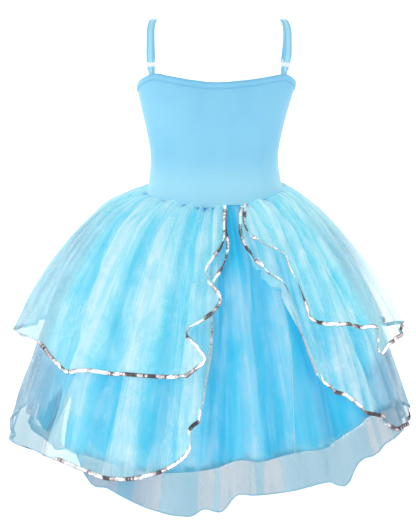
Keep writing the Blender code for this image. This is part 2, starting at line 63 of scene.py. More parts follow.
# How round the body's sections are, and the height of the waist, which dips at the back.
ROUNDNESS = 2.4
WAIST = -0.2385
WAIST_DIP = 0.008

# How the skirts leave the waist: the length of cloth over which the seam's puckers level out, the gap
# that opens between layers and the length it takes to open, and how far the lining hangs in.
SETTLE = 0.070
LAYER_GAP = 0.0026
GATHER = 0.070
SLACK = 0.0065

Section = namedtuple("Section", "height middle half_width back_depth front_depth")
BODICE = table(
    Section,
    (-0.2630, -0.0012, 0.1050, 0.0815, 0.0855), (-0.2420, -0.0013, 0.0984, 0.0755, 0.0795),
    (-0.2250, -0.0016, 0.0942, 0.0712, 0.0752), (-0.2050, -0.0024, 0.0915, 0.0690, 0.0730),
    (-0.1850, -0.0023, 0.0919, 0.0695, 0.0735), (-0.1560, -0.0021, 0.0971, 0.0715, 0.0765),
    (-0.1200, -0.0014, 0.1057, 0.0730, 0.0790), (-0.0930, 0.0002, 0.1122, 0.0705, 0.0780),
    (-0.0680, 0.0030, 0.1145, 0.0670, 0.0760),
)

# The top edge of the bodice, from the left side seam round the back and the front.
Level = namedtuple("Level", "angle height")
RIM = table(
    Level,
    (-90, -0.0940), (-82, -0.0905), (-76.5, -0.0838), (-64, -0.0732), (-59, -0.0722), (-49, -0.0753),
    (-32, -0.0795), (-14, -0.0824), (0, -0.0833), (13, -0.0826), (32, -0.0803), (42, -0.0786),
    (52, -0.0762), (61, -0.0738), (66, -0.0738), (76, -0.0815), (84, -0.0880), (90, -0.0915),
    (100, -0.0960), (117, -0.0970), (150, -0.1110), (180, -0.1150), (210, -0.1110), (243, -0.0980),
    (260, -0.0980), (270, -0.0940),
)

# The seam at the waist, which the puckered back pulls down.
SEAM = table(
    Level,
    (-80, -0.2440), (-57, -0.2482), (-39, -0.2508), (-20, -0.2559), (-8, -0.2578), (10, -0.2537),
    (26, -0.2531), (43, -0.2491), (60, -0.2431), (80, -0.2402), (115, -0.2395), (180, -0.2390),
    (240, -0.2400),
)

# The slope of the underskirt, in degrees below level, at each length of cloth from the waist.
Slope = namedtuple("Slope", "length back left right front")
SLOPES = table(
    Slope,
    (0.000, 6, 9, 7, 6), (0.012, 34, 21, 34, 32), (0.030, 52, 35, 49, 48), (0.060, 60, 48, 54, 56),
    (0.100, 65, 57, 57, 62), (0.150, 69, 64, 63, 67), (0.200, 71, 70, 66, 70), (0.300, 73, 76, 73, 72),
    (0.440, 72, 72, 72, 71),
)

# The large folds that run through every layer: the angle of each crest and the height of the fold.
Fold = namedtuple("Fold", "crest height")
FOLDS = table(
    Fold,
    (-8, 0.012), (12, 0.010), (31, 0.013), (52, 0.011), (71, 0.014), (92, 0.010), (111, 0.012),
    (131, 0.014), (150, 0.011), (169, 0.013), (190, 0.012), (211, 0.014), (230, 0.010), (251, 0.013),
    (271, 0.010), (289, 0.014), (308, 0.011), (331, 0.013),
)

# The hem of each closed layer: its length at each angle and how far it stands off the layer beneath.
Hem = namedtuple("Hem", "angle length stand")
UNDER_HEM = table(
    Hem,
    (-45, 0.382, 0.001), (-22, 0.386, 0.002), (0, 0.376, 0.001), (9, 0.366, 0.001), (14, 0.369, 0.002),
    (28, 0.362, 0.000), (40, 0.362, 0.001), (48, 0.350, 0.000), (90, 0.352, 0.000), (180, 0.362, 0.000),
    (270, 0.358, 0.000), (290, 0.366, 0.000), (296, 0.368, 0.000), (299, 0.330, 0.000),
    (302, 0.312, 0.000), (304, 0.322, 0.000), (306.5, 0.376, 0.000), (309, 0.382, 0.000),
)
LONG_HEM = table(
    Hem,
    (-69, 0.377, 0.003), (-64, 0.384, 0.003), (-55, 0.387, 0.003), (-46, 0.384, 0.003),
    (-42, 0.411, 0.003), (-33, 0.417, 0.002), (-21, 0.434, 0.004), (-10, 0.441, 0.006),
    (-6.5, 0.440, 0.006), (-4, 0.432, 0.002), (2.5, 0.433, 0.003), (6.5, 0.414, 0.001),
    (12, 0.414, 0.004), (25, 0.412, 0.002), (35, 0.408, 0.004), (43.5, 0.415, 0.006),
    (47, 0.395, 0.001), (54, 0.391, 0.002), (61, 0.390, 0.002), (66, 0.383, 0.002), (90, 0.382, 0.002),
    (120, 0.392, 0.004), (150, 0.402, 0.002), (180, 0.398, 0.004), (210, 0.402, 0.002),
    (240, 0.394, 0.005), (270, 0.382, 0.003),
)

# The free edge of each open tier, from one side of the opening right round the body to the other:
# where the gather starts at the waist, where it ends on the edge, its length, and how far it stands
# off the layer beneath.
Edge = namedtuple("Edge", "top end length stand")
LOWER_EDGE = table(
    Edge,
    (26, 38.4, 0.276, 0.010), (28, 43.6, 0.292, 0.008), (30.5, 47.0, 0.304, 0.006),
    (34, 50.8, 0.326, 0.005), (38, 56.5, 0.339, 0.006), (43, 61.8, 0.347, 0.007),
    (48, 63.3, 0.362, 0.003), (53, 65.5, 0.373, 0.002), (59, 69.4, 0.374, 0.003),
    (68, 75, 0.379, 0.004), (82, 85, 0.384, 0.002), (98, 98, 0.380, 0.002), (118, 118, 0.376, 0.002),
    (140, 140, 0.380, 0.006), (162, 162, 0.380, 0.002), (184, 184, 0.380, 0.006),
    (206, 206, 0.380, 0.002), (228, 228, 0.380, 0.006), (250, 250, 0.390, 0.008),
    (270, 270, 0.403, 0.014), (285, 285, 0.406, 0.016), (300, 300, 0.402, 0.010),
    (311, 311, 0.398, 0.008), (322, 321.5, 0.404, 0.004), (334, 333.1, 0.402, 0.006),
    (347, 345.4, 0.381, 0.003), (357, 352.0, 0.357, 0.004), (365, 352.4, 0.328, 0.008),
    (375.5, 354.8, 0.316, 0.010),
)
UPPER_EDGE = table(
    Edge,
    (30.5, 36.4, 0.187, 0.012), (33, 42.0, 0.198, 0.010), (36.5, 49.5, 0.207, 0.011),
    (41.5, 57.5, 0.217, 0.012), (46, 65.2, 0.228, 0.013), (51, 66.2, 0.247, 0.009),
    (56, 67.4, 0.266, 0.004), (63, 71, 0.260, 0.008), (74, 80, 0.261, 0.021), (89, 90, 0.257, 0.029),
    (108, 108, 0.264, 0.012), (127, 127, 0.266, 0.014), (146, 146, 0.268, 0.006),
    (165, 165, 0.268, 0.012), (184, 184, 0.268, 0.005), (203, 203, 0.268, 0.012),
    (222, 222, 0.270, 0.006), (241, 241, 0.272, 0.014), (259, 259, 0.270, 0.020),
    (275, 275, 0.263, 0.036), (284, 284, 0.258, 0.035), (291.5, 291.5, 0.254, 0.017),
    (298, 298, 0.273, 0.008), (308, 308, 0.279, 0.003), (316, 315.4, 0.268, 0.009),
    (324, 321.5, 0.266, 0.003), (340, 336.6, 0.261, 0.010), (356, 344, 0.259, 0.005),
    (370.5, 350.7, 0.257, 0.012),
)

# The path of each opening edge: its angle at each length, and how far it is lifted off.
Side = namedtuple("Side", "length angle lift")
UPPER_RIGHT = table(
    Side,
    (0.000, 27.5, 0.000), (0.016, 22.0, 0.000), (0.030, 19.8, 0.000), (0.045, 19.2, 0.001),
    (0.057, 19.6, 0.002), (0.068, 21.5, 0.004), (0.080, 27.2, 0.006), (0.094, 33.5, 0.008),
    (0.115, 34.2, 0.006), (0.150, 35.6, 0.003), (0.187, 36.4, 0.000),
)
UPPER_LEFT = table(
    Side,
    (0.000, 370.5, 0.000), (0.038, 367.0, 0.000), (0.070, 365.4, 0.002), (0.090, 360.9, 0.004),
    (0.107, 356.5, 0.003), (0.123, 356.6, 0.000), (0.136, 360.5, 0.004), (0.152, 362.9, 0.009),
    (0.164, 361.1, 0.006), (0.183, 354.2, -0.002), (0.194, 349.3, -0.005), (0.213, 353.1, 0.000),
    (0.234, 356.8, 0.005), (0.257, 350.7, 0.000),
)
LOWER_RIGHT = table(
    Side,
    (0.000, 25.0, 0.000), (0.014, 20.5, 0.000), (0.033, 17.8, 0.000), (0.054, 16.3, 0.000),
    (0.076, 17.4, 0.001), (0.095, 21.2, 0.003), (0.117, 26.7, 0.004), (0.132, 31.6, 0.004),
    (0.147, 33.9, 0.002), (0.205, 36.2, 0.000), (0.230, 37.5, 0.000), (0.276, 38.4, 0.000),
)
LOWER_LEFT = table(
    Side,
    (0.000, 371.5, 0.000), (0.022, 369.2, 0.000), (0.044, 368.0, 0.000), (0.074, 368.6, 0.000),
    (0.109, 363.5, 0.002), (0.126, 359.4, 0.003), (0.170, 358.2, 0.000), (0.207, 357.9, 0.000),
    (0.263, 356.1, 0.000), (0.316, 354.8, 0.000),
)
# How many knots of the free edge, counted from the opening, follow the opening's path.
SIDE_REACH = 3.5

# Each strap: the angles round the bodice where it joins the back and the front, x at its top, and how
# far it bows outward on the way up.
Strap = namedtuple("Strap", "name back_angle front_angle top_x bow")
STRAPS = [Strap("left", -66, 243.5, -0.0880, -0.0014), Strap("right", 66.5, 113, 0.0950, 0.0052)]

# The path of a strap from inside the back, over the shoulder, to inside the front: the share of the
# way across, the height, and how much of its bow and of its lean toward the top it has there.
StrapPoint = namedtuple("StrapPoint", "share height bow lean")
STRAP_PATH = table(
    StrapPoint,
    (0.00, -0.0860, 0, 0), (0.00, -0.0730, 0, 0), (0.01, -0.0600, 0.35, 0), (0.03, -0.0450, 0.9, 0),
    (0.09, -0.0280, 1, 0), (0.20, -0.0130, 1, 0.06), (0.34, -0.0032, 1, 0.5), (0.50, 0.0006, 1, 1),
    (0.66, -0.0032, 1, 0.5), (0.80, -0.0140, 1, 0.06), (0.91, -0.0320, 1, 0), (0.98, -0.0550, 0.6, 0),
    (1.00, -0.0830, 0, 0), (1.00, -0.1090, 0, 0),
)

# The strap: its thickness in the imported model, its width, the thickness of a ply and the radius of its
# bend round a bar. Then the tab's width, the slider's height, and its bars: how thick they are, how far
# the outer two lie from the middle, and how high the plate between them is.
STRAP = 0.0012
STRAP_WIDTH = 0.0105
STRAP_PLY = 0.0015
STRAP_BEND = 0.0019
TAB_WIDTH = 0.0090
SLIDER_HEIGHT = -0.0600
BAR = 0.0015
BAR_PITCH = 0.0058
PLATE = 0.0062


# The main creases of each layer: where each starts and stops down the cloth and round it,
# its width in degrees and its height. The steep side is the one at the lower angle, or at the higher one
# where the width is negative.
Crease = namedtuple("Crease", "start start_angle stop stop_angle width height")
UPPER_CREASES = table(
    Crease,
    (0.000, -31.3, 0.320, -39.0, 7.0, 0.0068), (0.005, -57.0, 0.320, -48.5, 7.0, 0.0058),
    (0.040, -62.5, 0.140, -56.5, 4.0, 0.0042), (0.080, -23.9, 0.320, -32.0, 4.5, 0.0036),
    (0.008, -9.3, 0.300, -12.6, 3.4, 0.0048), (0.140, -80.0, 0.260, -68.5, 5.0, 0.0040),
    (0.130, -69.5, 0.300, -60.0, 4.0, 0.0030), (0.195, -42.5, 0.320, -45.5, 3.0, 0.0026),
    (0.030, -20.5, 0.240, -21.4, -3.6, 0.0032), (0.020, -48.0, 0.130, -43.0, 4.2, 0.0034),
    (0.004, -1.5, 0.110, -2.3, 2.4, 0.0034), (0.002, 41.8, 0.200, 36.6, -4.4, 0.0056),
    (0.020, 50.3, 0.130, 42.7, 3.4, 0.0032), (0.010, 63.0, 0.140, 49.5, 3.6, 0.0036),
    (0.030, 65.0, 0.130, 63.4, -5.0, 0.0040), (0.085, 76.5, 0.240, 69.0, -5.0, 0.0050),
    (0.110, 66.0, 0.230, 53.5, 5.0, 0.0030), (0.000, 85.0, 0.260, 91.0, 6.0, 0.0060),
    (0.010, 98.0, 0.200, 95.0, -5.0, 0.0042), (0.055, 108.0, 0.320, 113.0, 5.5, 0.0050),
    (0.000, 121.0, 0.320, 128.0, 7.0, 0.0066), (0.090, 137.0, 0.270, 133.0, -4.0, 0.0030),
    (0.015, 146.0, 0.320, 151.0, 6.0, 0.0052), (0.120, 158.0, 0.320, 155.5, 4.0, 0.0035),
    (0.000, 169.0, 0.310, 173.0, 7.0, 0.0062), (0.045, 182.0, 0.210, 180.0, -4.0, 0.0033),
    (0.006, 192.0, 0.320, 198.0, 5.5, 0.0052), (0.100, 206.0, 0.320, 202.5, 5.0, 0.0040),
    (0.000, 218.0, 0.320, 212.0, -7.0, 0.0064), (0.040, 228.0, 0.220, 231.0, 4.0, 0.0030),
    (0.008, 240.0, 0.320, 244.0, 6.0, 0.0054), (0.075, 253.0, 0.320, 250.0, 4.4, 0.0040),
    (0.000, 263.0, 0.280, 269.0, 6.0, 0.0056), (0.060, 277.0, 0.210, 276.0, 4.0, 0.0034),
)
LOWER_CREASES = table(
    Crease,
    (0.180, -46.0, 0.420, -57.0, 5.5, 0.0066), (0.140, -31.0, 0.460, -34.8, 6.5, 0.0056),
    (0.170, -25.0, 0.440, -27.4, -4.2, 0.0042), (0.160, -18.4, 0.460, -21.6, 4.0, 0.0046),
    (0.150, -11.2, 0.390, -12.3, 2.8, 0.0032), (0.120, -8.9, 0.380, -7.8, 2.4, 0.0034),
    (0.140, 46.6, 0.360, 45.6, 3.4, 0.0034), (0.210, 54.0, 0.420, 57.5, 4.0, 0.0030),
    (0.170, 66.6, 0.420, 64.2, -4.4, 0.0052), (0.120, 79.0, 0.450, 84.0, 5.0, 0.0044),
    (0.060, 101.0, 0.450, 97.0, -6.0, 0.0056), (0.150, 117.0, 0.400, 120.0, 4.0, 0.0034),
    (0.080, 134.0, 0.450, 138.0, 6.5, 0.0060), (0.180, 149.0, 0.450, 146.0, 4.0, 0.0038),
    (0.060, 163.0, 0.450, 166.0, 6.0, 0.0052), (0.140, 184.0, 0.450, 181.0, -5.0, 0.0048),
    (0.070, 203.0, 0.450, 208.0, 6.5, 0.0060), (0.170, 221.0, 0.430, 219.0, 4.0, 0.0036),
    (0.090, 236.0, 0.450, 232.0, -5.5, 0.0052), (0.120, 256.0, 0.450, 260.0, 5.5, 0.0046),
    (0.160, 274.0, 0.450, 279.0, 5.0, 0.0048), (0.140, 289.0, 0.430, 293.0, -5.0, 0.0042),
)
LONG_CREASES = table(
    Crease,
    (0.110, 32.4, 0.520, 23.4, -5.5, 0.0085), (0.150, 24.6, 0.480, 15.6, 5.5, 0.0042),
    (0.060, 20.0, 0.300, 9.0, 2.6, 0.0030), (0.170, 16.2, 0.420, 7.6, 3.2, 0.0034),
    (0.045, 7.4, 0.500, -6.4, 5.0, 0.0070), (0.240, 37.6, 0.460, 32.4, 4.0, 0.0042),
    (0.260, 49.0, 0.450, 45.4, 4.4, 0.0046), (0.340, -14.6, 0.520, -15.2, 3.4, 0.0038),
    (0.330, -22.0, 0.520, -21.0, 3.0, 0.0032), (0.280, -41.0, 0.470, -44.0, -5.0, 0.0046),
    (0.260, -66.0, 0.450, -71.0, 5.0, 0.0044), (0.200, 62.0, 0.440, 66.0, 5.0, 0.0050),
    (0.150, 84.0, 0.460, 80.0, -5.0, 0.0050), (0.100, 106.0, 0.460, 110.0, 6.0, 0.0060),
    (0.200, 128.0, 0.460, 125.0, 4.0, 0.0040), (0.080, 152.0, 0.470, 156.0, 6.5, 0.0062),
    (0.180, 173.0, 0.460, 170.0, -5.0, 0.0046), (0.120, 194.0, 0.460, 198.0, 5.5, 0.0054),
    (0.200, 216.0, 0.460, 213.0, 4.4, 0.0042), (0.090, 243.0, 0.460, 247.0, 6.0, 0.0058),
    (0.170, 266.0, 0.450, 262.0, -5.0, 0.0046),
)
LINING_CREASES = table(
    Crease,
    (0.060, 14.5, 0.420, 5.0, 4.0, 0.0030), (0.100, -28.0, 0.420, -32.0, 5.0, 0.0034),
    (0.140, 44.0, 0.420, 40.0, -5.0, 0.0036), (0.090, 118.0, 0.420, 121.0, 6.0, 0.0040),
    (0.120, 187.0, 0.420, 184.0, -6.0, 0.0038), (0.100, 236.0, 0.420, 239.0, 5.0, 0.0036),
)


# The panels of the long skirt, from their left edges at the waist on: how far each edge leans by the hem,
# in degrees, and how dense the panel looks.
Panel = namedtuple("Panel", "angle lean density")
PANELS = table(
    Panel,
    (-58.0, -6.0, 0.95), (35.9, -12.3, 0.45), (80.0, 3.0, 1.10), (133.0, 3.0, 0.80),
    (187.0, -3.0, 1.20), (243.0, 4.0, 0.85),
)
PANEL_LENGTH = 0.44


def column(rows, name):
    return np.array([getattr(row, name) for row in rows], float)


def smooth(x, xs, ys):
    """The smooth curve through the points, read at x."""
    slopes = np.gradient(ys, xs)
    x = np.clip(x, xs[0], xs[-1])
    i = np.clip(np.searchsorted(xs, x, side="right") - 1, 0, len(xs) - 2)
    width = xs[i + 1] - xs[i]
    u = (x - xs[i]) / width
    start = ys[i] + (x - xs[i]) * slopes[i] + (ys[i + 1] - ys[i] - width * slopes[i]) * u * u
    bend = width * (slopes[i] + slopes[i + 1]) - 2 * (ys[i + 1] - ys[i])
    return start + bend * u * u * (u - 1)


def turn_from(angle, middle):
    """How far round the body an angle lies from the middle one, from -180 to 180."""
    return np.mod(angle - middle + 180, 360) - 180


def run_of(line):
    """How far along a line each of its points lies."""
    return np.concatenate([[0], np.cumsum(np.linalg.norm(np.diff(line, axis=0), axis=1))])


def rise(x, over):
    """0 at the start, 1 once x has gone the distance over."""
    u = np.clip(x / over, 0, 1)
    return u * u * (3 - 2 * u)


def bodice_point(angle, height, out=0.0):
    """A point on the outer side of the bodice, or moved out from it."""
    a = np.radians(angle)
    heights = column(BODICE, "height")

    def size(name):
        return smooth(height, heights, column(BODICE, name))

    back = 0.5 + 0.5 * np.clip(np.cos(a) / 0.3, -1, 1)
    depth = size("front_depth") + (size("back_depth") - size("front_depth")) * rise(back, 1)
    wide = np.abs(np.sin(a)) / size("half_width")
    deep = np.abs(np.cos(a)) / depth
    radius = (wide**ROUNDNESS + deep**ROUNDNESS) ** (-1 / ROUNDNESS) + out
    x = size("middle") + radius * np.sin(a)
    return np.stack(np.broadcast_arrays(x, -radius * np.cos(a), height), axis=-1)


def around(rows, name, angle):
    """One value of a table that runs right round the body, smoothly joined and read at an angle."""
    angles, values = column(rows, "angle"), column(rows, name)
    angles = np.concatenate([angles[-3:] - 360, angles, angles[:3] + 360])
    values = np.concatenate([values[-3:], values, values[:3]])
    return smooth(np.mod(angle - rows[0].angle, 360) + rows[0].angle, angles, values)


def rim_height(angle):
    """The height of the bodice's top edge."""
    return np.interp(np.mod(angle + 90, 360) - 90, column(RIM, "angle"), column(RIM, "height"))


def waist_point(angle, length):
    """Where the skirts start. The puckers of the seam are pulled level again further down."""
    level = bodice_point(angle, WAIST - WAIST_DIP * rise(np.cos(np.radians(angle)), 1.0), -0.5 * CLOTH)
    seam = bodice_point(angle, around(SEAM, "height", angle), -0.5 * CLOTH)
    return seam + (level - seam) * rise(length, SETTLE)[..., None]


def skirt_point(angle, length, out):
    """A point at this length of cloth below the waist, moved out from the underskirt's own slope."""
    a = np.radians(angle)
    lengths = column(SLOPES, "length")
    side = np.sin(a) ** 2
    shares = {
        "back": (1 - side) * (np.cos(a) > 0),
        "front": (1 - side) * (np.cos(a) <= 0),
        "right": side * (np.sin(a) > 0),
        "left": side * (np.sin(a) <= 0),
    }

    def slope(at):
        below = sum(smooth(at, lengths, column(SLOPES, name)) * share for name, share in shares.items())
        return np.radians(below)

    run, drop, steps = 0, 0, 24
    for step in (np.arange(steps) + 0.5) / steps:
        along = slope(length * step)
        run = run + length * np.cos(along) / steps
        drop = drop + length * np.sin(along) / steps
    end = slope(length)
    seam = waist_point(angle, length)
    reach = run + out * np.sin(end)
    x = seam[..., 0] + reach * np.sin(a)
    y = seam[..., 1] - reach * np.cos(a)
    z = seam[..., 2] - 3 * PITCH - 0.5 * CLOTH - 0.0003 - drop + out * np.cos(end)
    return np.stack([x, y, z], axis=-1)


def ridges(angle, crests, heights):
    """A row of folds with round crests at these angles and narrower valleys between them."""
    crests = np.append(crests, crests[0] + 360)
    heights = np.append(heights, heights[0])
    at = np.mod(angle - crests[0], 360) + crests[0]
    i = np.clip(np.searchsorted(crests, at, side="right") - 1, 0, len(crests) - 2)
    u = (at - crests[i]) / (crests[i + 1] - crests[i])
    height = heights[i] + (heights[i + 1] - heights[i]) * rise(u, 1)
    return height * (0.5 + 0.5 * np.cos(2 * np.pi * u))


def crease_height(creases, angle, length):
    """How far the listed creases lift the cloth: steep on one side, and fading out at both ends."""
    height = 0.0
    for crease in creases:
        share = (length - crease.start) / (crease.stop - crease.start)
        middle = crease.start_angle + (crease.stop_angle - crease.start_angle) * share
        off = turn_from(angle, middle) / crease.width
        across = rise(off + 0.35, 0.5) * (1 - rise(off - 0.15, 1.3))
        height = height + crease.height * across * rise(share, 0.22) * (1 - rise(share - 0.78, 0.22))
    return height


def panel_density(angle, length):
    """How dense the long skirt looks: by its panels, and thinner where it is drawn tight in the opening."""
    first = PANELS[0].angle + PANELS[0].lean * length / PANEL_LENGTH
    angle = np.mod(angle - first, 360) + first
    density = np.full(angle.shape, PANELS[0].density)
    for before, panel in zip(PANELS, PANELS[1:]):
        edge = panel.angle + panel.lean * length / PANEL_LENGTH
        density += (panel.density - before.density) * rise(angle - edge + 0.3, 0.6)
    tight = (1 - rise(np.abs(angle - 10) - 5, 5)) * (1 - rise(length - 0.080, 0.07))
    return density * (1 - 0.9 * tight)


class Gathers:
    """Fine gathers that start close together at the waist, lean, widen and fade down the cloth."""

    def __init__(self, seed, count, height, first, last):
        chance = np.random.default_rng(seed)
        self.crests = (np.arange(count) + chance.uniform(-0.32, 0.32, count)) * 360 / count
        self.heights = height * chance.uniform(0.35, 1.0, count)
        self.lean = chance.uniform(0, 2 * np.pi, 3)
        self.patch = chance.uniform(0, 2 * np.pi, 4)
        self.first, self.last = first, last

    def __call__(self, angle, length):
        a = np.radians(angle)
        lean = np.sin(3 * a + self.lean[0]) + 0.7 * np.sin(7 * a + self.lean[1] + 9 * length)
        moved = angle + 14 * length * lean + 3 * np.sin(26 * length + 2 * a + self.lean[2]) * length
        patch = 0.62 + 0.22 * np.sin(9 * a + 17 * length + self.patch[0])
        patch += 0.16 * np.sin(23 * a - 31 * length + self.patch[1])
        fade = rise(length, self.first) * (1 - rise(length - self.last, 0.6 * self.last + 0.02))
        return ridges(moved, self.crests, self.heights) * patch * fade


Sheet = namedtuple("Sheet", "points marks length angle")
ANGLES = np.arange(0, 361.0, 0.5)
LENGTHS = np.linspace(0, 0.45, 181)


class Relief:
    """How far a layer stands out, kept on an even grid of angles and lengths."""

    def __init__(self, rows):
        self.rows = rows

    def __call__(self, angle, length):
        x = np.mod(angle, 360) / (ANGLES[1] - ANGLES[0])
        y = np.clip(length, 0, LENGTHS[-1]) / (LENGTHS[1] - LENGTHS[0])
        i = np.minimum(x.astype(int), len(ANGLES) - 2)
        j = np.minimum(y.astype(int), len(LENGTHS) - 2)
        u, v = x - i, y - j
        low = self.rows[j, i] * (1 - u) + self.rows[j, i + 1] * u
        high = self.rows[j + 1, i] * (1 - u) + self.rows[j + 1, i + 1] * u
        return low * (1 - v) + high * v


class Layer:
    """One gathered layer, on gather lines that run from the waist to its free edge."""

    def __init__(self, below, lines, gathers, creases, sides=None):
        self.below = below
        self.sides = sides
        self.gathers = gathers
        self.creases = creases
        self.closed = sides is None
        self.level = 0 if below is None else below.level + 1
        self.top, self.end, self.length, self.stand, *self.near = lines
        rows = [self.total(ANGLES, np.full(len(ANGLES), at)) for at in LENGTHS]
        self.relief = Relief(np.array(rows))

    def angle(self, length):
        """The angle of each gather line at these lengths, one per line."""
        if self.closed:
            return self.end
        swing = np.clip(length / self.length, 0, 1) ** 1.2
        angle = self.top + (self.end - self.top) * swing
        for near, side, k in zip(self.near, self.sides, (0, -1)):
            path = smooth(length, column(side, "length"), column(side, "angle"))
            angle = angle + near * (path - angle[k])
        return angle

    def own(self, length):
        """How far each gather line stands off the layer beneath, one per line."""
        height = self.stand * np.clip(length / self.length, 0, 1) ** 1.5
        for near, side in zip(self.near, self.sides or ()):
            height = height + near**2 * smooth(length, column(side, "length"), column(side, "lift"))
        return height

    def floor(self, angle, length):
        """The height that the layer rests on, with its own fine gathers."""
        fine = sum(gather(angle, length) for gather in self.gathers)
        fine = fine + crease_height(self.creases, angle, length)
        if self.below is None:
            crests, heights = column(FOLDS, "crest"), column(FOLDS, "height")
            slack = SLACK * rise(length, 0.05) * (1 - 0.6 * rise(length - 0.25, 0.15))
            return ridges(angle, crests, heights) * rise(length, 0.30) + fine - slack
        return self.below.relief(angle, length) + LAYER_GAP * rise(length, GATHER) + fine

    def total(self, angle, length):
        """The height of the layer along one length."""
        lines, lifts = self.angle(length[0]), self.own(length[0])
        if self.closed:
            own = np.interp(angle, lines, lifts, period=360)
        else:
            middle = 0.5 * (lines[0] + lines[-1])
            own = np.interp(turn_from(angle, middle) + middle, lines, lifts)
        return self.floor(angle, length) + own

    def sheet(self, rows):
        """The middle of the cloth, row by row from the waist to the free edge, and how each place looks."""
        share = (np.arange(rows + 1) / rows) ** 1.15
        length = share[:, None] * self.length[None, :]
        angle = np.stack([self.angle(row) for row in length])
        own = np.stack([self.own(row) for row in length])
        out = self.floor(angle, length) + own + self.level * PITCH
        points = skirt_point(angle, length, out)
        base = self
        while base.below is not None:
            base = base.below
        lining = np.interp(angle, base.end, base.length, period=360)
        stand = out - base.relief(angle, length)
        right = np.clip(np.sin(np.radians(angle)), 0, 1)
        lower = self.level == LOWER_LEVEL
        left_back = rise(angle - LEFT_BACK[0], 3) * (1 - rise(angle - LEFT_BACK[1], 3)) * lower
        turn = turn_from(angle, 0)
        left_hem = rise(turn - LEFT_HEM[0], 8) * (1 - rise(turn - LEFT_HEM[1], 10))
        left_hem = left_hem * rise(length - lining + 0.01, 0.02)
        past = past_sides(points, base) + lower * 0.045 * rise(length - 0.24, 0.05)
        past = rise(past + 0.004, 0.014 + 0.03 * lower)
        # Marks for the materials: bare and past carry the sheer's painted shade below the lining's hem and
        # past its sides, deep the painted shade under the waist seam, and crest the painted highlights on
        # the crests.
        marks = {
            "bare": rise(length - lining + 0.002 + 0.5 * stand, 0.004) * (1 - 0.8 * left_back),
            "past": past * rise(length - 0.05 * (UPPER_LEVEL - self.level), 0.12),
            "clear": rise(stand - 0.022, 0.018) * right,
            "panel": panel_density(angle, length) if self.level == LONG_LEVEL else 1 + 0.5 * right,
            "deep": shade_under_seam(angle, length) * (self.level == UPPER_LEVEL)
            + 0.16 * left_hem * (self.level == LONG_LEVEL),
            "crest": above_neighbours(out, self.closed),
        }
        return Sheet(points, marks, length, angle)


# Where the lower tier is spared the grey painted shade below the lining's hem, and where the long skirt's
# hem gets a little of the dark blue painted shade.
LEFT_BACK = (304, 356)
LEFT_HEM = (-54, -26)


def past_sides(points, base):
    """How far each point lies out to the left or right of the lining at its own height."""
    angle, length = np.meshgrid(np.arange(0, 360, 3.0), np.linspace(0, base.length.max(), 60))
    wall = skirt_point(angle, length, base.relief(angle, length))
    right = np.interp(-points[..., 2], -wall[:, 30, 2], np.maximum.accumulate(wall[..., 0].max(axis=1)))
    left = np.interp(-points[..., 2], -wall[:, 90, 2], np.minimum.accumulate(wall[..., 0].min(axis=1)))
    return np.maximum(points[..., 0] - right, left - points[..., 0])


# Where the gathers under the waist seam are painted in dark blue shade: their angle, half their width and
# their length.
Dip = namedtuple("Dip", "angle width length")
DIPS = table(
    Dip,
    (-8.6, 3.6, 0.0120), (-2.4, 1.3, 0.0060), (-16.5, 1.6, 0.0060), (-29.5, 1.9, 0.0080),
    (-48.0, 1.8, 0.0070), (30.0, 1.6, 0.0070), (48.0, 1.6, 0.0070), (70.0, 1.6, 0.0070),
    (104.0, 2.0, 0.0060), (139.0, 1.6, 0.0050), (176.0, 2.0, 0.0060), (207.0, 1.6, 0.0050),
    (243.0, 1.8, 0.0060), (281.0, 1.6, 0.0050),
)


# The puffs of cloth over the waist seam, between the dips: the angle of each and its height.
PUFFS = table(
    Fold,
    (-60, 0.0030), (-38, 0.0056), (-22, 0.0050), (-12, 0.0040), (-5.5, 0.0034), (2, 0.0046),
    (22, 0.0052), (39, 0.0056), (60, 0.0034), (88, 0.0016), (121, 0.0036), (157, 0.0058), (191, 0.0048),
    (224, 0.0056), (270, 0.0016),
)


def puffed(angle, length):
    """How far the puffs lift the upper tier."""
    height = ridges(angle, column(PUFFS, "crest"), column(PUFFS, "height"))
    return height * rise(length, 0.0028) * (1 - rise(length - 0.014, 0.05))


def shade_under_seam(angle, length):
    """How much painted shade the cloth has under the waist seam, from 0 to 1."""
    deep = 0.0
    for dip in DIPS:
        off = np.abs(turn_from(angle, dip.angle)) / dip.width
        deep = deep + (1 - rise(off - 0.3, 0.9)) * (1 - rise(length / dip.length - 0.4, 0.8))
    return np.clip(deep, 0, 1)


def with_tuck(sheet, level):
    """The sheet with its seam allowance, which goes up inside the bodice."""
    angle = sheet.angle[0]
    inside = -(CLOTH + 0.0003 + 0.0004 * (UPPER_LEVEL - level))
    seam = around(SEAM, "height", angle)
    rows = [bodice_point(angle, seam + up, inside) for up in (0.0070, 0.0030, -0.0004)]

    def above(grid):
        return np.concatenate([grid[:1]] * len(rows) + [grid])

    marks = {name: above(grid) for name, grid in sheet.marks.items()}
    points = np.concatenate([np.stack(rows), sheet.points])
    return Sheet(points, marks, above(sheet.length), above(sheet.angle))


def above_neighbours(out, closed, reach=12):
    """How far each place stands above the cloth beside it, from 0 in a valley to 1 on a crest."""
    pad = ((0, 0), (reach, reach))
    wide = np.pad(out, pad, mode="wrap" if closed else "edge")
    level = sum(wide[:, k : k + out.shape[1]] for k in range(2 * reach + 1)) / (2 * reach + 1)
    return np.clip(0.5 + (out - level) / 0.0045, 0, 1)


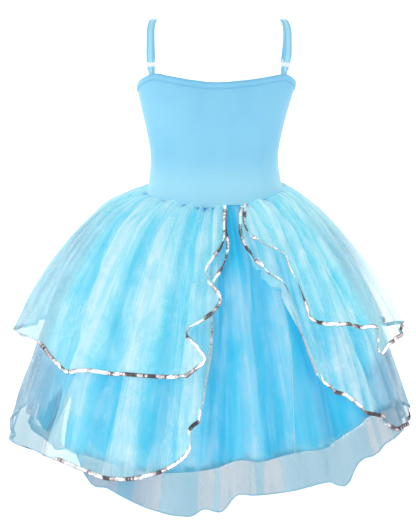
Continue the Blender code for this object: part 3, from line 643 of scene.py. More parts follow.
# Cloth that goes on past a tier's opening edge: its width and how far it curls under, in degrees.
Turn = namedtuple("Turn", "length width curl")
LOWER_RIGHT_TURN = table(
    Turn,
    (0.000, 0.0006, 60), (0.084, 0.0006, 60), (0.100, 0.0070, 25), (0.125, 0.0150, 12),
    (0.150, 0.0150, 20), (0.180, 0.0090, 90), (0.200, 0.0070, 180), (0.250, 0.0070, 180),
    (0.275, 0.0006, 60),
)
LOWER_LEFT_TURN = table(
    Turn,
    (0.000, 0.0006, 60), (0.115, 0.0006, 60), (0.135, 0.0060, 150), (0.160, 0.0075, 190),
    (0.285, 0.0075, 190), (0.316, 0.0006, 60),
)
UPPER_LEFT_TURN = table(
    Turn,
    (0.000, 0.0006, 60), (0.100, 0.0006, 60), (0.113, 0.0060, 170), (0.127, 0.0060, 170),
    (0.136, 0.0006, 60), (0.257, 0.0006, 60),
)
UPPER_RIGHT_TURN = table(
    Turn,
    (0.000, 0.0006, 60), (0.187, 0.0006, 60),
)


# Rows of faces in the cloth that curls under past an opening edge.
CURL_ROWS = 7


def with_turn(sheet, curls, right):
    """The sheet with its cloth carried on past one opening edge, curling under."""
    edge = 0 if right else -1
    out = facing(sheet.points, False)[:, edge]
    along = unit(np.gradient(sheet.points[:, edge], axis=0))
    away = unit(np.cross(along, out)) * (1 if right else -1)
    outward = sheet.points[:, edge] - sheet.points[:, 3 if right else -4]
    away = away * np.sign(np.sum(away * outward, axis=1))[:, None]
    length = sheet.length[:, edge]
    width = smooth(length, column(curls, "length"), column(curls, "width"))
    curl = np.radians(smooth(length, column(curls, "length"), column(curls, "curl")))
    extra = []
    for share in np.arange(1, CURL_ROWS + 1) / CURL_ROWS:
        turned = curl * share
        over = width / curl * np.sin(turned)
        under = width / curl * (1 - np.cos(turned))
        extra.append(sheet.points[:, edge] + over[:, None] * away - under[:, None] * out)

    def beside(grid, added):
        added = np.stack(added, axis=1)
        return np.concatenate([added[:, ::-1], grid] if right else [grid, added], axis=1)

    points = beside(sheet.points, extra)
    marks = {name: beside(grid, [grid[:, edge]] * CURL_ROWS) for name, grid in sheet.marks.items()}
    further = [sheet.angle[:, edge] + (-k if right else k) * 0.6 for k in range(1, CURL_ROWS + 1)]
    return sheet._replace(points=points, marks=marks, angle=beside(sheet.angle, further))


def closed_lines(hem, count):
    """Gather lines straight down, for a layer that goes all the way round from the centre front."""
    angles = 180 + np.arange(count) * 360 / count
    return angles, angles, around(hem, "length", angles), around(hem, "stand", angles)


def open_lines(edge, steps):
    """Gather lines that fan out to the free edge of an open tier."""
    last = len(edge) - 1
    knots = np.arange(len(edge), dtype=float)
    at = np.linspace(0, last, last * steps + 1)
    near_right = np.clip(1 - at / SIDE_REACH, 0, 1)
    near_left = np.clip(1 - (last - at) / SIDE_REACH, 0, 1)
    return (*(smooth(at, knots, column(edge, name)) for name in Edge._fields), near_right, near_left)


def unit(vectors):
    return vectors / np.maximum(np.linalg.norm(vectors, axis=-1, keepdims=True), 1e-12)


def facing(points, closed):
    """Unit directions square to a sheet of points, pointing away from the body."""
    if closed:
        across = np.roll(points, -1, axis=1) - np.roll(points, 1, axis=1)
    else:
        across = np.gradient(points, axis=1)
    return unit(np.cross(np.gradient(points, axis=0), across))


def new_piece(name, points, faces, surface, uvs=None):
    """A mesh piece with smooth faces, and a UV corner for every face corner if given."""
    mesh = bpy.data.meshes.new(name)
    mesh.from_pydata([tuple(p) for p in points], [], [tuple(face) for face in faces])
    if uvs is not None:
        layer = mesh.uv_layers.new(name="UVMap")
        layer.data.foreach_set("uv", np.asarray(uvs, np.float32).ravel())
    mesh.materials.append(surface)
    piece = bpy.data.objects.new(name, mesh)
    bpy.context.scene.collection.objects.link(piece)
    mesh.shade_smooth()
    return piece


def put_mark(piece, name, values):
    """Keeps a value at each point of a mesh, for its material."""
    layer = piece.data.attributes.new(name, "FLOAT", "POINT")
    layer.data.foreach_set("value", np.asarray(values, np.float32).ravel())


def sharpen(piece, degrees):
    """Smooth shading, broken only where faces meet at more than this angle."""
    bpy.ops.object.select_all(action="DESELECT")
    piece.select_set(True)
    bpy.context.view_layer.objects.active = piece
    bpy.ops.object.shade_smooth_by_angle(angle=math.radians(degrees))


def grid_of(rows, columns):
    """The row and the column of every place in a grid."""
    return (grid.ravel() for grid in np.meshgrid(np.arange(rows), np.arange(columns), indexing="ij"))


def cloth(name, middle, thickness, closed, width, surface, marks, turns=None):
    """A thin closed wall of cloth through a grid of points. Its UV map is metres across and down."""
    rows, columns = middle.shape[:2]
    normal = facing(middle, closed)
    points = np.concatenate([(middle + normal * thickness / 2).reshape(-1, 3),
                             (middle - normal * thickness / 2).reshape(-1, 3)])
    drops = np.linalg.norm(np.diff(middle, axis=0), axis=2)
    down = np.concatenate([np.zeros((1, columns)), np.cumsum(drops, axis=0)])
    wide = columns if closed else columns - 1
    step = width / wide
    r, c = grid_of(rows - 1, wide)

    def at(row, col, side):
        return side * rows * columns + row * columns + col % columns

    def uv(row, col):
        round_again = 2 * np.pi * MID_RADIUS * (col == columns)
        across = col * step if turns is None else turns[row, col % columns] + round_again
        return np.stack([across, down[row, col % columns]], axis=-1)

    corners = [(r, c), (r + 1, c), (r + 1, c + 1), (r, c + 1)]
    outer = np.stack([at(*corner, 0) for corner in corners], axis=1)
    inner = np.stack([at(*corner, 1) for corner in corners[::-1]], axis=1)
    faces = [outer, inner]
    uvs = [np.stack([uv(*corner) for corner in order], axis=1) for order in (corners, corners[::-1])]
    rims = [([0, 3], r == 0), ([2, 1], r == rows - 2)]
    if not closed:
        rims += [([1, 0], c == 0), ([3, 2], c == wide - 1)]
    for (a, b), there in rims:
        first = tuple(k[there] for k in corners[a])
        second = tuple(k[there] for k in corners[b])
        faces.append(np.stack([at(*first, 0), at(*second, 0), at(*second, 1), at(*first, 1)], axis=1))
        uvs.append(np.stack([uv(*first), uv(*second), uv(*second), uv(*first)], axis=1))
    piece = new_piece(name, points, np.concatenate(faces), surface, np.concatenate(uvs))
    for mark, grid in marks.items():
        put_mark(piece, mark, np.tile(grid.ravel(), 2))
    sharpen(piece, 70)
    return piece


class Value:
    """A number or colour that a material works out at each point."""

    def __init__(self, finish, socket):
        self.finish, self.socket = finish, socket

    def maths(self, operation, *others):
        return self.finish.node("Math", {"operation": operation}, [self, *others])

    def __add__(self, other):
        return self.maths("ADD", other)

    __radd__ = __add__

    def __sub__(self, other):
        return self.maths("SUBTRACT", other)

    def __rsub__(self, other):
        return self.finish.node("Math", {"operation": "SUBTRACT"}, [other, self])

    def __mul__(self, other):
        return self.maths("MULTIPLY", other)

    __rmul__ = __mul__

    def __pow__(self, other):
        return self.maths("POWER", other)

    def within(self, low, high):
        """0 below low, 1 above high, and smooth between them."""
        settings = {"interpolation_type": "SMOOTHSTEP"}
        values = {"Value": self, "From Min": low, "From Max": high}
        return self.finish.node("MapRange", settings, values, "Result")


class Finish:
    """A material round one Principled shader."""

    def __init__(self, name, **constants):
        self.material = bpy.data.materials.new(name)
        self.material.use_nodes = True
        self.tree = self.material.node_tree
        self.shader = self.tree.nodes["Principled BSDF"]
        self.set(self.shader, {key.replace("_", " "): value for key, value in constants.items()})

    def set(self, node, values):
        named = values.items() if isinstance(values, dict) else enumerate(values)
        for key, value in named:
            if isinstance(value, Value):
                self.tree.links.new(value.socket, node.inputs[key])
            else:
                node.inputs[key].default_value = value

    def node(self, kind, settings=None, values=None, output=0):
        """Adds a node: its settings first, then the values or links of its sockets."""
        node = self.tree.nodes.new("ShaderNode" + kind)
        for key, value in (settings or {}).items():
            setattr(node, key, value)
        self.set(node, values or {})
        return Value(self, node.outputs[output])

    def place(self, x=1.0, y=1.0, z=1.0, uv=False):
        """The point on the piece, stretched: its UV map in metres, or Object coordinates."""
        source = self.node("UVMap") if uv else self.node("TexCoord", output="Object")
        return self.node("VectorMath", {"operation": "MULTIPLY"}, [source, (x, y, z)])

    def mark(self, name):
        """A value kept at each point of the mesh."""
        return self.node("Attribute", {"attribute_name": name}, output="Fac")

    def noise(self, place, detail=2.0, roughness=0.5, distortion=0.0):
        values = {"Vector": place, "Scale": 1.0, "Detail": detail, "Roughness": roughness}
        return self.node("TexNoise", None, {**values, "Distortion": distortion}, "Fac")

    def mix(self, share, first, second):
        """From the first colour to the second."""
        node = self.tree.nodes.new("ShaderNodeMix")
        node.data_type = "RGBA"
        for key, value in {0: share, 6: first, 7: second}.items():
            value = (*value, 1.0) if isinstance(value, tuple) and len(value) == 3 else value
            self.set(node, {key: value})
        return Value(self, node.outputs[2])

    def bump(self, height, distance, strength=1.0):
        values = {"Height": height, "Distance": distance, "Strength": strength}
        return self.node("Bump", None, values, "Normal")

    def to(self, **links):
        self.set(self.shader, {key.replace("_", " "): value for key, value in links.items()})
        return self.material


def stretch_cloth(name):
    """Smooth stretch knit in light blue: ribs, a faint shine, painted shade where it dips at a seam and on a
    strap's rounded edges, painted light toward the waist and along a strap's middle, and a faint painted
    glow.
    """
    # The emission is a faint painted glow.
    finish = Finish(name, Sheen_Weight=0.35, Sheen_Roughness=0.35, Specular_IOR_Level=0.35,
                    Emission_Strength=0.10)
    seam, low = finish.mark("seam"), finish.mark("low")
    ribs = finish.noise(finish.place(2600, 420, 420), 1.0)
    cloud = finish.noise(finish.place(14, 14, 9), 3.0)
    tint = finish.mix(cloud.within(0.3, 0.7), (0.205, 0.600, 0.880), (0.265, 0.665, 0.915))
    # Painted light: lighter toward the waist, for light thrown up off the skirt, and along the middle of a
    # strap.
    tint = finish.mix(low * 0.8, tint, (0.420, 0.840, 1.000))
    tint = finish.mix(ribs * 0.35, tint, (0.36, 0.76, 0.96))
    # Painted shade: darker blue in the seam grooves, under the neck band and on a strap's rounded edges.
    tint = finish.mix(seam, tint, (0.130, 0.450, 0.750))
    return finish.to(Base_Color=tint, Emission_Color=tint, Roughness=cloud * 0.12 + 0.46,
                     Normal=finish.bump(ribs, 0.00012, 0.35))


def lining_cloth(name):
    """Opaque satin-faced lining in bright blue: lighter in streaks and on its crests as painted highlights,
    and with a faint painted glow.
    """
    finish = Finish(name, Specular_IOR_Level=0.15, Emission_Strength=0.12)
    crest = finish.mark("crest")
    streak = finish.noise(finish.place(160, 5, uv=True), 3.0)
    weave = finish.noise(finish.place(1800, 1500, uv=True), 1.0)
    # Painted highlights: lighter in streaks and on the crests of the folds.
    light = streak.within(0.35, 0.65) * 0.5 + crest * 0.5
    tint = finish.mix(light, (0.006, 0.470, 0.800), (0.030, 0.650, 0.940))
    tint = finish.mix(weave * 0.1, tint, (0.20, 0.72, 0.95))
    return finish.to(Base_Color=tint, Emission_Color=tint, Roughness=streak * 0.2 + 0.35,
                     Normal=finish.bump(streak, 0.0012, 0.5))


def sheer_cloth(name, opacity, rim, veil, pale):
    """Crisp organza: see-through, whiter in streaks and on its crests as painted highlights, with a faint
    painted glow.

    Its tint is painted light and shade by what lies behind it: bright blue over the lining, pale past the
    lining's sides and grey below the lining's hem. opacity is how thick it looks over the lining, rim how
    thick past its sides, and veil how thick below its hem.
    """
    # The emission is a faint painted glow.
    finish = Finish(name, Sheen_Weight=0.08, Specular_IOR_Level=0.3, Emission_Strength=0.16)
    bare, past, clear = (finish.mark(mark) for mark in ("bare", "past", "clear"))
    panel, deep, crest = (finish.mark(mark) for mark in ("panel", "deep", "crest"))
    fine = finish.noise(finish.place(230, 8, uv=True), 3.0, 0.6, 0.3)
    broad = finish.noise(finish.place(42, 4.5, uv=True), 3.0, 0.55, 0.8)
    crumple = finish.noise(finish.place(70, 19, uv=True), 2.0, 0.5, 1.1)
    cloud = finish.noise(finish.place(26, 20, uv=True), 3.0, 0.6, 0.5)
    line = 1 - (crumple - 0.5).maths("ABSOLUTE").within(0.002, 0.022)
    # Painted light and shade: whiter in streaks and on the crests, deeper blue in the valleys between.
    streak = fine.within(0.35, 0.72) * 0.14 + broad.within(0.36, 0.66) * 0.30 + crest * 0.30 + line * 0.12
    streak = streak + cloud.within(0.38, 0.64) * 0.22
    fold = finish.noise(finish.place(21, 1.3, uv=True), 2.0, 0.4, 0.3).within(0.495, 0.520)
    tint = finish.mix(streak, (0.15, 0.83, 0.96), (0.88, 0.98, 0.98))
    paler = finish.mix(streak, tuple(0.72 * k for k in pale), tuple(min(1.0, 1.25 * k) for k in pale))
    grey = finish.mix(streak, (0.16, 0.30, 0.40), (0.26, 0.44, 0.54))
    grey = finish.mix(fold, grey, (0.15, 0.46, 0.60))
    # Painted light and shade by what lies behind: bright over the lining, paler past its sides, grey below
    # its hem.
    tint = finish.mix(bare, finish.mix(past, tint, paler), grey)
    # Painted shade: dark blue in the dips under the waist seam, and a little on the long skirt's hem at the
    # left back.
    tint = finish.mix(deep, tint, (0.01, 0.20, 0.58))
    thick = opacity * (0.50 + 1.10 * streak + 0.25 * fold) * panel
    thick = thick + past * (rim * (0.7 + 0.6 * streak) - thick)
    thick = thick + bare * (veil * (0.80 + 0.3 * streak + 0.20 * fold) - thick)
    thick = thick * (1 - 0.70 * clear) + 0.8 * deep
    return finish.to(Base_Color=tint, Emission_Color=tint, Alpha=thick, Roughness=0.42 + streak * 0.15,
                     Normal=finish.bump(fine * 0.5 + broad * 0.3 + line * 0.2, 0.0014, 0.4))


def edge_thread(name, colour):
    """Rolled and overlocked edge thread."""
    finish = Finish(name, Sheen_Weight=0.4)
    twist = finish.noise(finish.place(1500, 1500, 1500), 2.0)
    tint = finish.mix(twist, tuple(0.75 * k for k in colour), colour)
    return finish.to(Base_Color=tint, Roughness=twist * 0.2 + 0.5)


def sequin_silver(name):
    """Polished silver sequins whose painted reflections turn light or dark a stretch at a time, with painted
    glints, a darker rim of painted shade on each, and a painted glow.
    """
    # The emission is a painted glow.
    finish = Finish(name, Metallic=1.0, Specular_IOR_Level=0.5, Emission_Strength=0.5)
    rim, chance = finish.mark("rim"), finish.mark("chance")
    stretch = finish.noise(finish.place(40, 40, 40), 1.0)
    each = finish.noise(finish.place(420, 420, 420), 1.0)
    # Painted reflections: light and dark stretches, and white glints.
    bright = (stretch + chance * 0.16).within(0.48, 0.55)
    glint = (stretch + chance * 0.12).within(0.57, 0.61)
    tint = finish.mix(bright, (0.13, 0.12, 0.13), (0.72, 0.64, 0.65))
    tint = finish.mix(glint, tint, (0.98, 0.98, 0.99))
    # Painted shade: a darker rim along each side of the braid.
    tint = finish.mix(rim * (0.95 - 0.35 * glint), tint, (0.06, 0.05, 0.06))
    return finish.to(Base_Color=tint, Emission_Color=tint, Roughness=each * 0.2 + 0.12)


def white_plastic(name):
    """Moulded plastic, milky and a little see-through, with a faint painted glow."""
    finish = Finish(name, Roughness=0.25, Specular_IOR_Level=0.5, Emission_Strength=0.15)
    flow = finish.noise(finish.place(300, 300, 300), 2.0)
    tint = finish.mix(flow, (0.84, 0.89, 0.93), (0.95, 0.97, 0.99))
    return finish.to(Base_Color=tint, Emission_Color=tint, Alpha=flow * 0.1 + 0.9)


def dress(piece, slot, *nodes):
    """Fixes a finished piece to the frame in place of the nodes it stands for."""
    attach(piece, "root")
    if nodes:
        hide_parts(*nodes)
    return piece


def sweep(name, path, across, section, closed, surface, shade_share=None):
    """A strip or cord of even section along a path. The section runs round in metres across and out."""
    if closed:
        along = unit(np.roll(path, -1, axis=0) - np.roll(path, 1, axis=0))
    else:
        along = unit(np.gradient(path, axis=0))
    across = unit(across - along * np.sum(across * along, axis=1, keepdims=True))
    out = np.cross(along, across)
    points = path[:, None] + section[None, :, :1] * across[:, None] + section[None, :, 1:] * out[:, None]
    count, sides = len(path), len(section)
    k, s = grid_of(count if closed else count - 1, sides)
    ahead, beside = (k + 1) % count, (s + 1) % sides
    corners = [(k, s), (k, beside), (ahead, beside), (ahead, s)]
    faces = np.stack([row * sides + side for row, side in corners], axis=1).tolist()
    if not closed:
        faces.append(list(range(sides))[::-1])
        faces.append([(count - 1) * sides + s for s in range(sides)])
    piece = new_piece(name, points.reshape(-1, 3), faces, surface)
    # A strip's painted shade goes to the seam mark, and the painted light where there is none goes to the
    # low mark.
    if shade_share is not None:
        put_mark(piece, "seam", np.tile(shade_share, count))
        put_mark(piece, "low", np.tile(1 - shade_share, count))
    sharpen(piece, 60)
    return piece


def cord(name, path, radius, closed, surface):
    """A round thread along a path."""
    turn = np.arange(6) * np.pi / 3
    section = radius * np.stack([np.cos(turn), np.sin(turn)], axis=1)
    level = np.cross(unit(np.gradient(path, axis=0)), (0.0, 0.0, 1.0))
    return sweep(name, path, level, section, closed, surface)


def shape_of(piece, step=1.7e-6):
    """The points and faces of a small modelled shape, in an order that is the same each run.

    The shape itself is taken away.
    """
    points = np.array([v.co[:] for v in piece.data.vertices])
    order = np.lexsort(np.floor(points / step + 0.37).T)
    rank = np.argsort(order)
    faces = []
    for face in piece.data.polygons:
        corners = [int(rank[k]) for k in face.vertices]
        first = corners.index(min(corners))
        faces.append(corners[first:] + corners[:first])
    bpy.data.objects.remove(piece, do_unlink=True)
    return points[order], sorted(faces)


def pick_faces(piece, wanted):
    """Goes into edit mode with only these faces selected."""
    bpy.ops.object.mode_set(mode="EDIT")
    bpy.ops.mesh.select_mode(type="FACE")
    bpy.ops.mesh.select_all(action="DESELECT")
    bpy.ops.object.mode_set(mode="OBJECT")
    for face in piece.data.polygons:
        face.select = wanted(face)
    bpy.ops.object.mode_set(mode="EDIT")


def one_sequin():
    """A cupped disc, 1 across from its middle, with a small bevel round its face."""
    bpy.ops.object.select_all(action="DESELECT")
    bpy.ops.mesh.primitive_cylinder_add(vertices=9, radius=1.0, depth=0.16, end_fill_type="NGON")
    disc = bpy.context.object
    pick_faces(disc, lambda face: face.normal.z > 0.5)
    bpy.ops.mesh.inset(thickness=0.42)
    bpy.ops.transform.translate(value=(0, 0, -0.10))
    bpy.ops.object.mode_set(mode="OBJECT")
    return shape_of(disc)


def one_stitch():
    """A short rounded stitch, 2 long and 1 across."""
    bpy.ops.object.select_all(action="DESELECT")
    bpy.ops.mesh.primitive_uv_sphere_add(segments=6, ring_count=4, radius=0.5, rotation=(0, math.pi / 2, 0))
    stitch = bpy.context.object
    bpy.ops.object.transform_apply(location=False, rotation=True, scale=False)
    stitch.scale = (2.0, 1.0, 0.7)
    bpy.ops.object.transform_apply(location=False, rotation=False, scale=True)
    return shape_of(stitch)


def copies(name, shape, centres, first, second, third, surface):
    """Copies of one small shape, each at a centre with its own three directions, in metres."""
    points, faces = shape
    ways = enumerate((first, second, third))
    placed = centres[:, None] + sum(points[None, :, k, None] * way[:, None] for k, way in ways)
    starts = np.arange(len(centres)) * len(points)
    every = [[start + corner for corner in face] for start in starts for face in faces]
    piece = new_piece(name, placed.reshape(-1, 3), every, surface)
    put_mark(piece, "rim", np.tile(np.abs(points[:, 1]) > 0.6, len(centres)))
    each = np.random.default_rng(5).uniform(0, 1, len(centres))
    put_mark(piece, "chance", np.repeat(each, len(points)))
    sharpen(piece, 35)
    return piece


# The skirts' UV maps run round a circle of this radius.
MID_RADIUS = 0.25


def make_skirts():
    """The four gathered layers, each in the place of its node."""
    gathers = [Gathers(1, 60, 0.0030, 0.05, 0.30)]
    under = Layer(None, closed_lines(UNDER_HEM, 360), gathers, LINING_CREASES)
    gathers = [Gathers(2, 90, 0.0022, 0.012, 0.16), Gathers(3, 47, 0.0034, 0.06, 0.40)]
    long = Layer(under, closed_lines(LONG_HEM, 480), gathers, LONG_CREASES)
    gathers = [Gathers(4, 84, 0.0018, 0.015, 0.15), Gathers(5, 52, 0.0030, 0.05, 0.35)]
    lower = Layer(long, open_lines(LOWER_EDGE, 15), gathers, LOWER_CREASES, (LOWER_RIGHT, LOWER_LEFT))
    gathers = [puffed, Gathers(6, 104, 0.0030, 0.004, 0.05), Gathers(7, 56, 0.0034, 0.02, 0.26)]
    upper = Layer(lower, open_lines(UPPER_EDGE, 15), gathers, UPPER_CREASES, (UPPER_RIGHT, UPPER_LEFT))
    Plan = namedtuple("Plan", "node layer rows thickness slot flat surface")
    plans = [
        Plan("underskirt", under, 44, LINING, "bright_blue_cloth", (1.55, 0.37),
             lining_cloth("bright_blue_lining")),
        Plan("long_skirt", long, 64, ORGANZA, "sheer_blue_cloth", (1.75, 0.41),
             sheer_cloth("sheer_long", 0.18, 0.22, 0.43, (0.30, 0.58, 0.70))),
        Plan("lower_tier", lower, 58, ORGANZA, "sheer_blue_cloth", (1.62, 0.37),
             sheer_cloth("sheer_lower", 0.28, 0.36, 0.32, (0.36, 0.55, 0.66))),
        Plan("upper_tier", upper, 52, ORGANZA, "sheer_blue_cloth", (1.45, 0.27),
             sheer_cloth("sheer_upper", 0.32, 0.38, 0.18, (0.42, 0.74, 0.88))),
    ]
    curls = {
        "lower_tier": (LOWER_RIGHT_TURN, LOWER_LEFT_TURN),
        "upper_tier": (UPPER_RIGHT_TURN, UPPER_LEFT_TURN),
    }
    made = {}
    for plan in plans:
        made[plan.node] = sheet = plan.layer.sheet(plan.rows)
        sheet = with_tuck(sheet, plan.layer.level)
        if plan.node in curls:
            sheet = with_turn(with_turn(sheet, curls[plan.node][0], True), curls[plan.node][1], False)
        turns = np.radians(sheet.angle) * MID_RADIUS
        piece = cloth(plan.node + "_cloth", sheet.points, plan.thickness, plan.layer.closed, plan.flat[0],
                      plan.surface, sheet.marks, turns)
        dress(piece, plan.slot, plan.node)
    return made, long


def panel_edge(name, panel, layer, surface):
    """The edge of one panel of the long skirt, oversewn with a thin thread."""
    length = np.linspace(0.010, 0.375, 74)
    angle = panel.angle + panel.lean * length / PANEL_LENGTH
    out = layer.relief(angle, length) + layer.level * PITCH + 0.0004
    return cord(name, skirt_point(angle, length, out), 0.0004, False, surface)


def along_edge(grid):
    """The values of a grid along the free edge of an open tier: right side, hem, then left side."""
    return np.concatenate([grid[:, 0], grid[-1, 1:-1], grid[::-1, -1]])


# Stretches of each braid that turn out of sight: along a side by length, along the hem by angle.
Hidden = namedtuple("Hidden", "part start stop turned")
LOWER_HIDDEN = table(
    Hidden,
    ("right", 0.140, 0.268, 170), ("left", 0.126, 0.305, 165), ("hem", 268, 311, 95),
)
UPPER_HIDDEN = table(Hidden, ("left", 0.110, 0.130, 150), ("hem", 266, 294, 110))

# How far the braid is turned on the opening's sides, in degrees, and the sequins' radius and spacing.
SIDE_TURN = 18
SEQUIN = 0.0029
SEQUIN_STEP = 0.0020


def make_braid(name, sheet, hidden, surfaces, *nodes):
    """A row of overlapping sequins on a tape along the free edge of a tier."""
    rows = sheet.points.shape[0]
    path = along_edge(sheet.points)
    out = along_edge(facing(sheet.points, False))
    along = unit(np.gradient(path, axis=0))
    inward = unit(np.cross(out, along))
    length, angle = along_edge(sheet.length), along_edge(sheet.angle)
    place = {"right": length, "left": length, "hem": angle}
    index = np.arange(len(path))
    part = np.where(index < rows, "right", np.where(index >= len(path) - rows, "left", "hem"))
    turned = np.radians(SIDE_TURN) * (part != "hem")
    for stretch in hidden:
        at, reach = place[stretch.part], 3.0 if stretch.part == "hem" else 0.010
        inside = rise(at - stretch.start, reach) * rise(stretch.stop - at, reach) * (part == stretch.part)
        turned = np.maximum(turned, np.radians(stretch.turned) * inside)
    gone = run_of(path)
    at = np.arange(0.002, gone[-1] - 0.002, SEQUIN_STEP)

    def read(values):
        return np.stack([np.interp(at, gone, values[:, k]) for k in range(values.shape[1])], axis=1)

    turned = read(turned[:, None])
    out, along = unit(read(out)), unit(read(along))
    inward = unit(read(inward))
    flat = np.cos(turned) * inward - np.sin(turned) * out
    up = np.cos(turned) * out + np.sin(turned) * inward
    centre = read(path) + 0.0020 * flat + 0.0008 * up
    tape = sweep(name + "_tape", centre - 0.0005 * up, flat, TAPE, False, surfaces["tape"])
    dress(tape, "silver_braid")
    chance = np.random.default_rng(11)
    tip = 0.16 + chance.normal(0, 0.04, len(at))
    roll = chance.normal(0, 0.05, len(at))
    axis = unit(up + np.tan(tip)[:, None] * along + np.tan(roll)[:, None] * flat)
    first = unit(along - axis * np.sum(along * axis, axis=1, keepdims=True))
    second = np.cross(axis, first)
    size = SEQUIN * (0.90 + 0.10 * rise(at, 0.15) * rise(gone[-1] - at, 0.15))[:, None]
    ways = (size * first, size * second, size * axis)
    piece = copies(name + "_sequins", one_sequin(), centre, *ways, surfaces["silver"])
    return dress(piece, "silver_braid", *nodes)


# The section of the braid's tape, from its middle.
TAPE = np.array([(0.0028, 0.00012), (-0.0028, 0.00012), (-0.0028, -0.00012), (0.0028, -0.00012)])

# The neck band, from inside the bodice over its edge and down the outer side: height, distance out, and
# painted shade in the fold at its top and along its lower edge.
Band = namedtuple("Band", "height out seam")
BAND = table(
    Band,
    (-0.0075, -0.0018, 0.0), (-0.0030, -0.0019, 0.0), (-0.0002, -0.0017, 0.0), (0.0006, -0.0010, 0.0),
    (0.0006, -0.0001, 0.2), (0.0000, 0.0006, 0.6), (-0.0012, 0.0009, 0.5), (-0.0026, 0.0008, 0.1),
    (-0.0045, 0.0010, 0.0), (-0.0062, 0.0011, 0.0), (-0.0074, 0.0008, 0.3), (-0.0081, 0.0003, 1.0),
    (-0.0085, 0.0001, 1.0),
)


def make_bodice(surface, thread):
    """The back and front of the bodice, each with its neck band and its rows of stitches."""
    seam = 0.10
    for side, (start, stop) in {"back": (-90 + seam, 90 - seam), "front": (90 + seam, 270 - seam)}.items():
        angles = np.linspace(start, stop, 121)
        joint = 1 - rise(np.minimum(angles - start, stop - angles), 1.6)[None, :]
        share = np.linspace(0, 1, 49)[:, None]
        top = rim_height(angles)[None, :]
        height = top + (around(SEAM, "height", angles)[None, :] - top) * share
        # The seam mark paints shade on the bodice under the neck band and along its side seams; the low mark
        # paints light toward the waist.
        below = 1 - rise(top - height - 0.0078, 0.0022)
        middle = bodice_point(angles[None, :], height, -CLOTH / 2 - 0.0004 * joint)
        marks = {"seam": 0.5 * np.maximum(joint + 0 * height, below), "low": rise(-0.178 - height, 0.055)}
        piece = cloth("bodice_" + side + "_cloth", middle, STRETCH, False, 0.28, surface, marks)
        dress(piece, "light_blue_stretch_cloth", "bodice_" + side)
        height = top + column(BAND, "height")[:, None]
        out = column(BAND, "out")[:, None] - 0.0004 * joint
        marks = {"seam": 0.75 * column(BAND, "seam")[:, None] + 0 * height, "low": 0 * height}
        middle = bodice_point(angles[None, :], height, out)
        band = cloth("neck_binding_" + side + "_cloth", middle, BINDING, False, 0.28, surface, marks)
        dress(band, "light_blue_stretch_cloth", "neck_binding_" + side)

        fine = np.linspace(start + 0.3, stop - 0.3, 2000)
        line = bodice_point(fine, rim_height(fine) - 0.0066, 0.0014)
        stitches("neck_stitches_" + side, line, 0.0034, thread)
        down = rim_height(angles[-1]) - np.linspace(0.010, 0.130, 400)
        for tag, angle in (("a", start + 1.1), ("b", stop - 1.1)):
            stitches("side_stitches_" + side + "_" + tag, bodice_point(angle, down, 0.0001), 0.0036, thread)
    for tag, first, last in (("a", -10.5, -9.5), ("b", 9.0, 10.0)):
        angles = np.linspace(first, last, 40)
        line = bodice_point(angles, rim_height(angles) - 0.0095, 0.0001)
        stitches("bar_tack_" + tag, line, 0.0008, thread)


# The thickness of the sewing thread's stitches.
THREAD = 0.0005


def stitches(name, line, step, surface):
    """A row of small stitches along a line on the cloth."""
    gone = run_of(line)
    at = np.arange(step / 2, gone[-1], step)
    centre = np.stack([np.interp(at, gone, line[:, k]) for k in range(3)], axis=1)
    ahead = np.stack([np.interp(at + 1e-4, gone, line[:, k]) for k in range(3)], axis=1)
    along = unit(ahead - centre) if len(at) > 1 else unit(line[-1:] - line[:1])
    out = centre * (1, 1, 0)
    out = unit(out - along * np.sum(out * along, axis=1, keepdims=True))
    size = min(0.34 * step, 0.0011)
    ways = (size * along, THREAD * np.cross(out, along), THREAD * out)
    piece = copies(name, one_stitch(), centre, *ways, surface)
    return dress(piece, "light_blue_stretch_cloth")


# Half the outline of a strap's section, from its edge to its middle: shares of its half width and half
# thickness, with a groove where the edge is stitched.
HALF_STRAP = [
    (1.00, 0.00), (0.97, 0.55), (0.88, 0.84), (0.78, 0.90), (0.71, 0.66), (0.64, 0.92), (0.35, 1.08),
]
# The painted shade at each of these points: most in the stitched groove, some on the rounded edge.
STRAP_PAINTED_SHADE = [0.6, 0.5, 0.1, 0.3, 1.0, 0.3, 0.0]


def strap_section(width, thickness):
    """The outline of a strap's section, and how much painted shade each of its points has; where there is
    none, the strap is painted light.
    """
    half = np.array(HALF_STRAP)
    top = np.concatenate([half, [[0.0, 1.12]], half[::-1] * (-1, 1)])
    section = np.concatenate([top, top[-2:0:-1] * (1, -1)]) * (width / 2, thickness / 2)
    seam = STRAP_PAINTED_SHADE + [0.0] + STRAP_PAINTED_SHADE[::-1]
    return section, np.array(seam + seam[-2:0:-1])


def wall_turn(angle, height):
    """How far the bodice wall is turned from the X axis, seen from above."""
    step = bodice_point(angle + 2, height) - bodice_point(angle - 2, height)
    return np.arctan2(step[1] * np.sign(step[0]), abs(step[0]))


